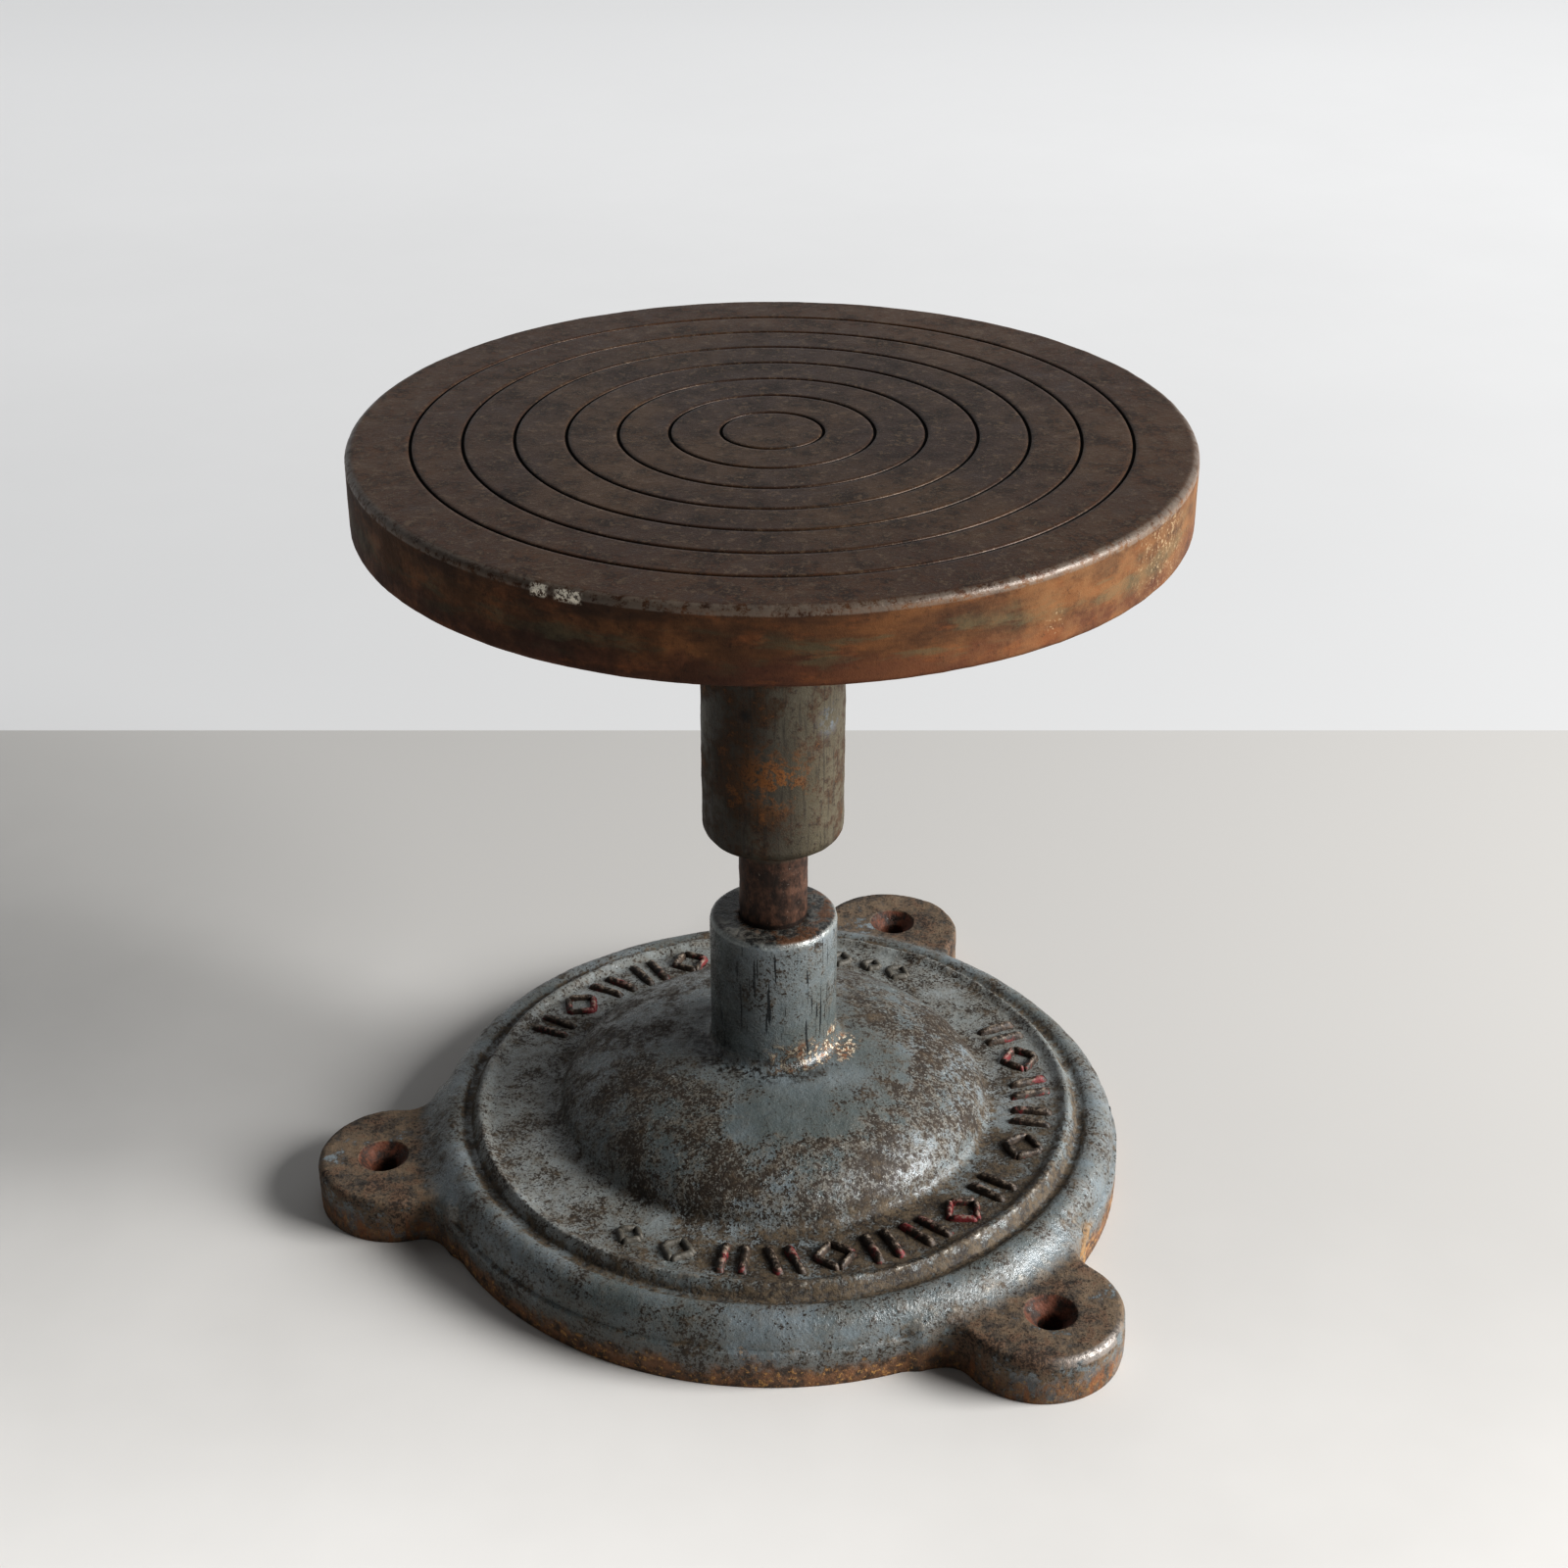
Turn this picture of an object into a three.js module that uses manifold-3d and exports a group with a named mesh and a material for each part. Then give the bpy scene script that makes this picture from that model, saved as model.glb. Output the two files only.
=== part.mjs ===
// Banding wheel: a heavy turned iron wheel head on a long hub, which spins on a spindle fixed in a
// cast-iron base with three screw-down lugs. A ball on top of the spindle carries the weight.
// Millimetres, +Z up. The origin is on the spin axis, in the plane that the base stands on.
import * as THREE from "three";
import { mergeVertices } from "three/addons/utils/BufferGeometryUtils.js";
import Module from "manifold-3d";

const wasm = await Module();
wasm.setup();

const INCH = 25.4;
const SIDES = 40; // sides of every turned surface, so that faces on one axis stay parallel
const HOLE_SIDES = 20;
const FIT_GAP = 0.1; // between pieces that touch on the real object
const CUT_GAP = 0.3; // round a piece that lies across its neighbour
const RUN_GAP = 0.1; // between the spindle and the bushes that turn on it

// Wheel head: a disc with seven grooves for centring, and a boss below that holds the hub.
const OVERALL_HEIGHT = 8.75 * INCH;
const HEAD_R = 4.125 * INCH;
const HEAD_THICK = 0.75 * INCH;
const HEAD_UNDERSIDE = OVERALL_HEIGHT - HEAD_THICK;
const HEAD_TOP_ROUND = 2;
const HEAD_BOTTOM_ROUND = 1;
const GROOVE_COUNT = 7;
const GROOVE_PITCH = 0.5 * INCH;
const GROOVE_WIDTH = 0.9;
const GROOVE_DEPTH = 0.7;
const HEAD_BOSS_R = 27;
const HEAD_BOSS_DROP = 16;
const HEAD_BOSS_FILLET = 4;

// Hub sleeve: a turned bar, bored for a bush at each end.
const HUB_R = 0.75 * INCH;
const HUB_BOTTOM = 4.25 * INCH;
const HUB_ROUND = 4;
const HUB_TOP = HEAD_UNDERSIDE - 4.2; // just short of the socket's roof in the boss
const HUB_BORE_R = 12.05;
const BUSH_LENGTH = 25;
const FELT_R = 13.4;
const FELT_THICK = 3.1;

// Spindle, and the thrust ball between a coned seat in its end and a pad in the wheel head.
const SPINDLE_R = 9.35;
const SPINDLE_BOTTOM = 8;
const SPINDLE_TOP = 190;
const SPINDLE_CHAMFER = 0.8;
const BALL_R = (0.375 / 2) * INCH;
const BALL_RISE = 2.6; // of the ball's centre over the spindle's end
const BALL_Z = SPINDLE_TOP + BALL_RISE;
const SEAT_R = 6.5;
const SEAT_DEPTH = 8;
const SEAT_FLAT_R = 0.8;
const PAD_R = 6.9;
const PAD_HEIGHT = 6.4;

// Base casting: rim, bead, ridge, flat ring, dome and stem, hollow underneath round a central boss.
const BASE_R = 98.4;
const RIM_CHAMFER = 0.8;
const RIM_TOP = 12;
const BEAD_TOP = 19.5;
const BEAD_INNER_R = 88;
const RIDGE_R = 83.5;
const RIDGE_TOP = 22.5;
const RIDGE_FOOT_RISE = 0.6; // over the bead, between the bead and the ridge
const RING_OUTER_R = 81.8;
const RING_Z = 21;
const DOME_R = 60.5;
const DOME_RISE = 22.5;
const DOME_FOOT_FILLET = 1.4;
const STEM_R = 17.6;
const STEM_TOP = 3.25 * INCH;
const STEM_FILLET = 2.2;
const STEM_EDGE_ROUND = 1.8;
const STEM_TOP_DISH = 0.6;
const WALL = 8;
const DOME_WALL = 7;
const ROOF_Z = 13;
const ROOF_CORNER = 3;
const BASE_BOSS_R = 19;
const BASE_BOSS_DRAFT = 1;

// Screw-down lugs on the rim.
const LUG_ANGLES = { right: -50, back: 70, left: -170 };
const LUG_HEIGHT = 14;
const LUG_TIP_R = 22;
const LUG_CENTRE_R = 107.6;
const LUG_ROOT_FILLET = 10;
const LUG_EDGE_ROUND = 2.2;
const SCREW_HOLE_R = 3.5;
const SCREW_HOLE_CENTRE_R = 111.5;
const COUNTERSINK_R = 7.15;

// Taper pin through the base boss and the spindle's foot, and the screws that lock the hub.
const PIN_R = 2.9;
const PIN_TAPER = 1 / 48;
const PIN_LENGTH = 41;
const PIN_Z = 17;
const LOCK_SCREW_R = 3;
const LOCK_SCREW_LENGTH = 8;
const LOCK_SCREW_ANGLES = [30, 210];
const LOCK_SCREW_SLOT = 1;
const LOCK_SCREW_START = HUB_R + CUT_GAP;
const LOCK_SCREW_Z = HEAD_UNDERSIDE - HEAD_BOSS_DROP / 2 - 2;
const UPPER_BUSH_INSET = 4; // below the spindle's end

const radians = THREE.MathUtils.degToRad;
const degrees = THREE.MathUtils.radToDeg;

// Points on an elliptical arc, in a plan or in a profile plane of radius and height.
function arc(centreX, centreY, radiusX, radiusY, fromDeg, toDeg, steps) {
  return Array.from({ length: steps + 1 }, (_, i) => {
    const angle = radians(fromDeg + ((toDeg - fromDeg) * i) / steps);
    return [centreX + radiusX * Math.cos(angle), centreY + radiusY * Math.sin(angle)];
  });
}

// The rounded upper edge of a turned profile whose sharp corner would be at this radius and height.
function roundedEdge(cornerR, cornerZ, round, steps) {
  return arc(cornerR - round, cornerZ - round, round, round, 0, 90, steps);
}

// A profile turned round the Z axis. It runs anticlockwise with the radius to the right, and it
// starts and ends on the axis or closes on itself.
function turned(profile, sides = SIDES) {
  const points = profile.map(([r, z]) => new THREE.Vector2(r, z));
  return new THREE.LatheGeometry(points, sides).rotateX(Math.PI / 2);
}

// A plain ring between two radii and two heights.
function ring(innerR, outerR, bottom, top) {
  const corner = [innerR, bottom];
  return turned([corner, [outerR, bottom], [outerR, top], [innerR, top], corner]);
}

// A closed three.js geometry as a solid that can be joined and cut.
function solid(geometry) {
  const bare = geometry.index ? geometry.toNonIndexed() : geometry;
  bare.deleteAttribute("normal");
  bare.deleteAttribute("uv");
  const merged = mergeVertices(bare, 1e-4);
  const corners = [];
  for (let i = 0; i < merged.index.count; i += 3) {
    const [a, b, c] = merged.index.array.subarray(i, i + 3);
    if (a !== b && b !== c && c !== a) corners.push(a, b, c);
  }
  const vertProperties = merged.attributes.position.array;
  return new wasm.Manifold(
    new wasm.Mesh({ numProp: 3, vertProperties, triVerts: new Uint32Array(corners) }),
  );
}

// A solid as a three.js geometry.
function geometryOf(made) {
  const mesh = made.getMesh();
  const geometry = new THREE.BufferGeometry();
  geometry.setAttribute("position", new THREE.BufferAttribute(mesh.vertProperties, 3));
  geometry.setIndex(new THREE.BufferAttribute(mesh.triVerts, 1));
  geometry.computeVertexNormals();
  return geometry;
}

// A cylinder along +X from one distance to another, turned about Z and set at a height.
function radialCylinder(radiusIn, radiusOut, from, to, angleDeg, z) {
  return new THREE.CylinderGeometry(radiusIn, radiusOut, to - from, HOLE_SIDES)
    .rotateZ(Math.PI / 2)
    .translate((from + to) / 2, 0, 0)
    .rotateZ(radians(angleDeg))
    .translate(0, 0, z);
}

function basePin(gap) {
  const taper = (PIN_LENGTH / 2) * (PIN_TAPER / 2);
  const half = PIN_LENGTH / 2 + gap;
  return radialCylinder(PIN_R - taper + gap, PIN_R + taper + gap, -half, half, 0, PIN_Z);
}

function baseOutline() {
  const beadWidth = BASE_R - BEAD_INNER_R;
  const domeArc = arc(0, RING_Z, DOME_R, DOME_RISE, 12, 70, 8);
  const stemFootR = STEM_R + STEM_FILLET;
  const stemFootZ = RING_Z + DOME_RISE * Math.sqrt(1 - (stemFootR / DOME_R) ** 2);
  return [
    [0, 0],
    [BASE_R - RIM_CHAMFER, 0],
    [BASE_R, RIM_CHAMFER],
    [BASE_R, RIM_TOP],
    ...arc(BEAD_INNER_R, RIM_TOP, beadWidth, BEAD_TOP - RIM_TOP, 15, 90, 4),
    [(BEAD_INNER_R + RIDGE_R) / 2, BEAD_TOP + RIDGE_FOOT_RISE],
    [RIDGE_R, RIDGE_TOP],
    [RING_OUTER_R, RING_Z],
    [DOME_R + DOME_FOOT_FILLET, RING_Z],
    ...domeArc,
    [stemFootR, stemFootZ],
    [STEM_R, stemFootZ + STEM_FILLET],
    ...roundedEdge(STEM_R, STEM_TOP, STEM_EDGE_ROUND, 2),
    [SPINDLE_R, STEM_TOP - STEM_TOP_DISH],
    [0, STEM_TOP - STEM_TOP_DISH],
  ];
}

// The hollow under the base, round the boss.
function baseHollow() {
  const innerR = BASE_R - WALL;
  const domeInnerR = DOME_R - DOME_WALL;
  const domeArc = arc(0, ROOF_Z, domeInnerR, DOME_RISE, 10, 67, 5);
  const start = [BASE_BOSS_R, -1];
  return [
    start,
    [innerR, -1],
    [innerR, ROOF_Z - ROOF_CORNER],
    [innerR - ROOF_CORNER, ROOF_Z],
    [domeInnerR, ROOF_Z],
    ...domeArc,
    [BASE_BOSS_R + BASE_BOSS_DRAFT, domeArc.at(-1)[1]],
    start,
  ];
}

// One lug with a round tip, blended into the rim by a fillet on each side. Its bottom edge lies
// below the floor plane, to be trimmed with the rest of the base.
function lug() {
  const reachLug = LUG_TIP_R + LUG_ROOT_FILLET;
  const reachBase = BASE_R + LUG_ROOT_FILLET;
  const filletX = (reachBase ** 2 - reachLug ** 2 + LUG_CENTRE_R ** 2) / (2 * LUG_CENTRE_R);
  const filletY = Math.sqrt(reachBase ** 2 - filletX ** 2);
  const toLug = degrees(Math.atan2(-filletY, LUG_CENTRE_R - filletX));
  const toBase = degrees(Math.atan2(-filletY, -filletX));
  const tipAngle = 180 + toLug;
  const rootX = BASE_R - WALL;
  const rootY = filletY - LUG_ROOT_FILLET;
  const outline = [
    [rootX, -rootY],
    ...arc(filletX, -filletY, LUG_ROOT_FILLET, LUG_ROOT_FILLET, -toBase, -toLug, 4),
    ...arc(LUG_CENTRE_R, 0, LUG_TIP_R, LUG_TIP_R, -tipAngle, tipAngle, 16).slice(1, -1),
    ...arc(filletX, filletY, LUG_ROOT_FILLET, LUG_ROOT_FILLET, toLug, toBase, 4),
    [rootX, rootY],
  ];
  const shape = new THREE.Shape(outline.map(([x, y]) => new THREE.Vector2(x, y)));
  return new THREE.ExtrudeGeometry(shape, {
    depth: LUG_HEIGHT,
    bevelThickness: LUG_EDGE_ROUND,
    bevelSize: LUG_EDGE_ROUND,
    bevelOffset: -LUG_EDGE_ROUND,
    bevelSegments: 2,
  }).translate(0, 0, -LUG_EDGE_ROUND);
}

// A screw hole through a lug, countersunk at 90 degrees from above.
function screwHole() {
  const coneDepth = COUNTERSINK_R - SCREW_HOLE_R;
  const profile = [
    [0, -1],
    [SCREW_HOLE_R, -1],
    [SCREW_HOLE_R, LUG_HEIGHT - coneDepth],
    [COUNTERSINK_R + 1, LUG_HEIGHT + 1],
    [0, LUG_HEIGHT + 1],
  ];
  return turned(profile, HOLE_SIDES).translate(SCREW_HOLE_CENTRE_R, 0, 0);
}

function baseCasting() {
  let casting = solid(turned(baseOutline()));
  for (const angle of Object.values(LUG_ANGLES)) {
    casting = casting.add(solid(lug().rotateZ(radians(angle))));
  }
  casting = casting.subtract(solid(turned(baseHollow())));
  for (const angle of Object.values(LUG_ANGLES)) {
    casting = casting.subtract(solid(screwHole().rotateZ(radians(angle))));
  }
  const spindleBore = ring(0, SPINDLE_R + FIT_GAP, SPINDLE_BOTTOM - FIT_GAP, STEM_TOP + 1);
  const underFloor = new THREE.BoxGeometry(400, 400, 20).translate(0, 0, -10);
  return geometryOf(
    casting.subtract(solid(spindleBore)).subtract(solid(basePin(CUT_GAP))).subtract(solid(underFloor)),
  );
}

function spindle() {
  const bar = turned([
    [0, SPINDLE_BOTTOM],
    [SPINDLE_R - SPINDLE_CHAMFER, SPINDLE_BOTTOM],
    [SPINDLE_R, SPINDLE_BOTTOM + SPINDLE_CHAMFER],
    [SPINDLE_R, SPINDLE_TOP - SPINDLE_CHAMFER],
    [SPINDLE_R - SPINDLE_CHAMFER, SPINDLE_TOP],
    [SEAT_R + FIT_GAP, SPINDLE_TOP],
    [SEAT_R + FIT_GAP, SPINDLE_TOP - SEAT_DEPTH - FIT_GAP],
    [0, SPINDLE_TOP - SEAT_DEPTH - FIT_GAP],
  ]);
  return geometryOf(solid(bar).subtract(solid(basePin(CUT_GAP))));
}

// The ball rests in a 90 degree cone, whose apex lies root two ball radii under the ball's centre.
function ballSeat() {
  const apexZ = BALL_Z - Math.SQRT2 * BALL_R - FIT_GAP;
  return turned([
    [0, SPINDLE_TOP - SEAT_DEPTH],
    [SEAT_R, SPINDLE_TOP - SEAT_DEPTH],
    [SEAT_R, SPINDLE_TOP],
    [SPINDLE_TOP - apexZ, SPINDLE_TOP],
    [SEAT_FLAT_R, apexZ + SEAT_FLAT_R],
    [0, apexZ + SEAT_FLAT_R],
  ]);
}

function thrustPad() {
  const bottom = BALL_Z + BALL_R + FIT_GAP;
  return ring(0, PAD_R, bottom, bottom + PAD_HEIGHT);
}

function headOutline() {
  const socketRoof = HUB_TOP + FIT_GAP;
  const pocketRoof = BALL_Z + BALL_R + PAD_HEIGHT + 2 * FIT_GAP;
  const bossBottom = HEAD_UNDERSIDE - HEAD_BOSS_DROP;
  const grooves = [];
  for (let n = GROOVE_COUNT; n > 0; n -= 1) {
    grooves.push([n * GROOVE_PITCH + GROOVE_WIDTH / 2, OVERALL_HEIGHT]);
    grooves.push([n * GROOVE_PITCH, OVERALL_HEIGHT - GROOVE_DEPTH]);
    grooves.push([n * GROOVE_PITCH - GROOVE_WIDTH / 2, OVERALL_HEIGHT]);
  }
  return [
    [0, pocketRoof],
    [PAD_R + FIT_GAP, pocketRoof],
    [PAD_R + FIT_GAP, socketRoof],
    [HUB_R + FIT_GAP, socketRoof],
    [HUB_R + FIT_GAP, bossBottom],
    [HEAD_BOSS_R, bossBottom],
    [HEAD_BOSS_R, HEAD_UNDERSIDE - HEAD_BOSS_FILLET],
    [HEAD_BOSS_R + HEAD_BOSS_FILLET, HEAD_UNDERSIDE],
    [HEAD_R - HEAD_BOTTOM_ROUND, HEAD_UNDERSIDE],
    [HEAD_R, HEAD_UNDERSIDE + HEAD_BOTTOM_ROUND],
    ...roundedEdge(HEAD_R, OVERALL_HEIGHT, HEAD_TOP_ROUND, 3),
    ...grooves,
    [0, OVERALL_HEIGHT],
  ];
}

function wheelHead() {
  let head = solid(turned(headOutline()));
  for (const angle of LOCK_SCREW_ANGLES) {
    const bore = LOCK_SCREW_R + CUT_GAP;
    const hole = radialCylinder(bore, bore, HUB_R - 1, HEAD_BOSS_R + 2, angle, LOCK_SCREW_Z);
    head = head.subtract(solid(hole));
  }
  return geometryOf(head);
}

// A headless screw with a slot across its outer end.
function lockScrew(angle) {
  const end = LOCK_SCREW_START + LOCK_SCREW_LENGTH;
  const r = LOCK_SCREW_R;
  const shank = radialCylinder(r, r, LOCK_SCREW_START, end, angle, LOCK_SCREW_Z);
  const slot = new THREE.BoxGeometry(2 * LOCK_SCREW_SLOT, 3 * r, LOCK_SCREW_SLOT)
    .translate(end, 0, 0)
    .rotateZ(radians(angle))
    .translate(0, 0, LOCK_SCREW_Z);
  return geometryOf(solid(shank).subtract(solid(slot)));
}

function hubSleeve() {
  const mouthR = FELT_R + FIT_GAP;
  const mouthTop = HUB_BOTTOM + FELT_THICK + 2 * FIT_GAP;
  const start = [mouthR, HUB_BOTTOM];
  return turned([
    start,
    ...arc(HUB_R - HUB_ROUND, HUB_BOTTOM + HUB_ROUND, HUB_ROUND, HUB_ROUND, -90, 0, 3),
    [HUB_R, HUB_TOP],
    [HUB_BORE_R, HUB_TOP],
    [HUB_BORE_R, mouthTop],
    [mouthR, mouthTop],
    start,
  ]);
}

function bush(bottom) {
  return ring(SPINDLE_R + RUN_GAP, HUB_BORE_R - FIT_GAP, bottom, bottom + BUSH_LENGTH);
}

function feltRing() {
  return ring(SPINDLE_R + CUT_GAP, FELT_R, HUB_BOTTOM + FIT_GAP, HUB_BOTTOM + FELT_THICK);
}

const MATERIALS = {
  base_paint: { color: 0x5b666b, roughness: 0.5, metalness: 0.1 },
  head_iron: { color: 0x4a423d, roughness: 0.45, metalness: 0.6 },
  hub_paint: { color: 0x5f5a4a, roughness: 0.6, metalness: 0.2 },
  spindle_steel: { color: 0x5c3d2a, roughness: 0.6, metalness: 0.5 },
  hard_steel: { color: 0x9a9da0, roughness: 0.25, metalness: 1 },
  bronze: { color: 0x9c7638, roughness: 0.35, metalness: 1 },
  black_steel: { color: 0x2e2c2b, roughness: 0.5, metalness: 0.8 },
  felt: { color: 0x6a6355, roughness: 0.95, metalness: 0 },
};

const group = new THREE.Group();

function add(name, geometry, finish) {
  const mesh = new THREE.Mesh(geometry, new THREE.MeshStandardMaterial(MATERIALS[finish]));
  mesh.name = name;
  group.add(mesh);
}

const lowerBushBottom = HUB_BOTTOM + FELT_THICK + 4 * FIT_GAP;
const upperBushBottom = SPINDLE_TOP - BUSH_LENGTH - UPPER_BUSH_INSET;

add("base_casting", baseCasting(), "base_paint");
add("spindle", spindle(), "spindle_steel");
add("spindle_taper_pin", basePin(0), "black_steel");
add("ball_seat", ballSeat(), "hard_steel");
add("thrust_ball", new THREE.SphereGeometry(BALL_R - FIT_GAP, 24, 16).translate(0, 0, BALL_Z), "hard_steel");
add("thrust_pad", thrustPad(), "hard_steel");
add("wheel_head", wheelHead(), "head_iron");
add("hub_sleeve", hubSleeve(), "hub_paint");
add("lower_bush", bush(lowerBushBottom), "bronze");
add("upper_bush", bush(upperBushBottom), "bronze");
add("felt_dust_ring", feltRing(), "felt");
LOCK_SCREW_ANGLES.forEach((angle, i) => {
  add(`hub_lock_screw_${i + 1}`, lockScrew(angle), "black_steel");
});

export default group;
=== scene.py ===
"""Banding wheel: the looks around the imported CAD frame.

Lengths are in millimetres until a mesh is made, and +Z is up along the spin axis.
"""

import math

import bpy
import numpy as np
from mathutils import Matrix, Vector, noise


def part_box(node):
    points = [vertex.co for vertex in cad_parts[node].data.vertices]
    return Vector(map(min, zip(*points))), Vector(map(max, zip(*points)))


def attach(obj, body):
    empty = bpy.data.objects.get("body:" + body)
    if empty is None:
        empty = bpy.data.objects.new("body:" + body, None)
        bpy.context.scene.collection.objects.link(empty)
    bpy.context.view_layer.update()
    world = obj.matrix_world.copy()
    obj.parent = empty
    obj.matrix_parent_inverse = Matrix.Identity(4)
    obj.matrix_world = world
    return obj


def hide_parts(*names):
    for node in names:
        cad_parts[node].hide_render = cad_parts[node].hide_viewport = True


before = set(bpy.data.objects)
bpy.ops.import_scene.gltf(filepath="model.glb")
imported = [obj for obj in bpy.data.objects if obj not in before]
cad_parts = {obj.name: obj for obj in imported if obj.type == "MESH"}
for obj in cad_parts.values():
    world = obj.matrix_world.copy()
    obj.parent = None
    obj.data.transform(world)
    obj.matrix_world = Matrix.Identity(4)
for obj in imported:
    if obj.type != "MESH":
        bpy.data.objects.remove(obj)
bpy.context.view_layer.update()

MM = 0.001


def extent(node):
    """(radius or half width along X, bottom, top) of a CAD node, in millimetres."""
    low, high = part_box(node)
    return (high.x - low.x) / 2 / MM, low.z / MM, high.z / MM


# Wheel head.
HEAD_R, HEAD_LOWEST, HEAD_TOP = extent("wheel_head")
HEAD_THICK = 19.05
HEAD_UNDERSIDE = HEAD_TOP - HEAD_THICK
HEAD_TOP_ROUND = 2
HEAD_BOTTOM_ROUND = 1.2
HEAD_BOSS_R = 27
HEAD_BOSS_FILLET = 4
GROOVE_COUNT = 7
GROOVE_PITCH = 12.7
GROOVE_WIDTH = 0.9
GROOVE_DEPTH = 0.7
GROOVE_CHAMFER = (0.12, 0.1)
GROOVE_FLOOR_WIDTH = 0.36
GROOVE_SHOULDER = 1
SOCKET_GAP = 0.1

# Hub and spindle.
HUB_R, HUB_BOTTOM, HUB_TOP = extent("hub_sleeve")
HUB_ROUND = 4
HUB_BORE_R = 12.05
HUB_MOUTH_R = 13.5
HUB_MOUTH_DEPTH = 3.3
SPINDLE_R, SPINDLE_BOTTOM, SPINDLE_TOP = extent("spindle")
SPINDLE_ROUND = 0.8
SEAT_POCKET_R = 6.6
SEAT_POCKET_DEPTH = 8.1

# Base casting.
BASE_LOW, BASE_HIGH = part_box("base_casting")
BASE_R = 98.4
STEM_TOP = BASE_HIGH.z / MM
RIM_EDGE_Z = 11
RIM_LEDGE = 1.2
BEAD_TOP = 19.8
BEAD_CREST_R = 90.6
COVE_R = 86.4
COVE_Z = 18.5
RIDGE_R = 83.6
RIDGE_TOP = 22.4
RING_OUTER_R = 80.9
RING_Z = 21
DOME_R = 60.5
DOME_RISE = 22.5
DOME_FOOT_FILLET = 3
STEM_R = 17.6
STEM_FILLET = 2.6
STEM_EDGE_ROUND = 1.8
WALL = 8
DOME_WALL = 7
ROOF_Z = 13
ROOF_CORNER = 3
BOSS_R = 19
PIN_Z = 17
PIN_HOLE_R = 3.2
PIN_HOLE_HALF = 20.8

# Lugs.
LUG_ANGLES = {"right": -50, "back": 70, "left": -170}
LUG_HEIGHT = 14
LUG_TIP_R = 22
LUG_CENTRE_R = 107.6
LUG_ROOT_R = 93
LUG_ROOT_FILLET = 10
LUG_EDGE_ROUND = 1.9
LUG_BLEND = 6.5
SCREW_HOLE_R = 3.5
SCREW_CENTRE_R = 111.5
COUNTERSINK_R = 7.15

# How softly the cast base's surfaces meet, and how tightly the spindle sits in it.
HOLLOW_BLEND = 0.6
COUNTERSINK_BLEND = 0.3
HOLE_EDGE_BLEND = 0.12
BORE_EDGE_BLEND = 0.3
FOOT_EDGE_BLEND = 0.5
PRESS_OVERLAP = 0.3

# How far the outlines run on below the floor, to be cut off there.
OUTER_DEPTH = 10
HOLLOW_DEPTH = 12

# Mesh fineness: sides of turned pieces, longest stretches of their outlines, grid steps of the cast
# base, and the turn in degrees above which an edge stays crisp under smooth shading.
HEAD_SIDES = 360
HUB_SIDES = 160
SPINDLE_SIDES = 96
HEAD_STRETCH = 4
SMALL_STRETCH = 1.2
CAST_STEP = 1.2
TABLE_STEP = 0.25
TURNED_CREASE = 40
CAST_CREASE = 42
BORDER_CREASE = 60

# How deep the materials look for hollows and for edges on the cast base.
CAVITY_REACH = 3.5
EDGE_REACH = 1.6

# Offset in noise space from one seed to the next.
SEED_STRIDE = (17.3, 5.1, 9.7)


# ---- shapes

def link(name, vertices, faces):
    """A smooth-shaded mesh object from points in millimetres."""
    mesh = bpy.data.meshes.new(name)
    mesh.from_pydata((np.asarray(vertices, float) * MM).tolist(), [], [list(f) for f in faces])
    mesh.validate()
    mesh.polygons.foreach_set("use_smooth", [True] * len(mesh.polygons))
    piece = bpy.data.objects.new(name, mesh)
    bpy.context.scene.collection.objects.link(piece)
    return piece


def rounded(corners, steps=5, support=0.25):
    """An open outline from (x, y, radius) corners, with an arc at each corner that has a radius.
    A support point just before and after each arc keeps the flats flat under smooth shading."""
    points = []
    last = len(corners) - 1
    for i, (x, y, radius) in enumerate(corners):
        here = np.array([x, y], float)
        if radius == 0 or i in (0, last):
            points.append(here)
            continue
        back = np.array(corners[i - 1][:2], float) - here
        ahead = np.array(corners[i + 1][:2], float) - here
        back_length = np.linalg.norm(back)
        ahead_length = np.linalg.norm(ahead)
        back /= back_length
        ahead /= ahead_length
        half_angle = math.acos(np.clip(back @ ahead, -1, 1)) / 2
        reach = radius / math.tan(half_angle)
        inwards = (back + ahead) / np.linalg.norm(back + ahead)
        centre = here + inwards * radius / math.sin(half_angle)
        start = here + back * reach
        end = here + ahead * reach
        if back_length > reach + support:
            points.append(start + back * support)
        for step in range(steps + 1):
            chord = start + (end - start) * step / steps - centre
            points.append(centre + chord / np.linalg.norm(chord) * radius)
        if ahead_length > reach + support:
            points.append(end + ahead * support)
    return np.array(points)


def elliptic(centre, radii, from_deg, to_deg, steps):
    """Points on an ellipse's arc, with no corner radius."""
    (x, y), (wide, high) = centre, radii
    angles = np.radians(np.linspace(from_deg, to_deg, steps + 1))
    return [(x + wide * math.cos(a), y + high * math.sin(a), 0) for a in angles]


def divided(points, longest):
    """The same outline with every stretch cut into pieces no longer than this."""
    fine = [points[0]]
    for a, b in zip(points[:-1], points[1:]):
        parts = max(1, math.ceil(np.linalg.norm(b - a) / longest))
        fine += [a + (b - a) * k / parts for k in range(1, parts + 1)]
    return np.array(fine)


def crease(piece, degrees):
    """Keeps edges that turn by more than this crisp."""
    piece.data.set_sharp_from_angle(angle=math.radians(degrees))


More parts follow.
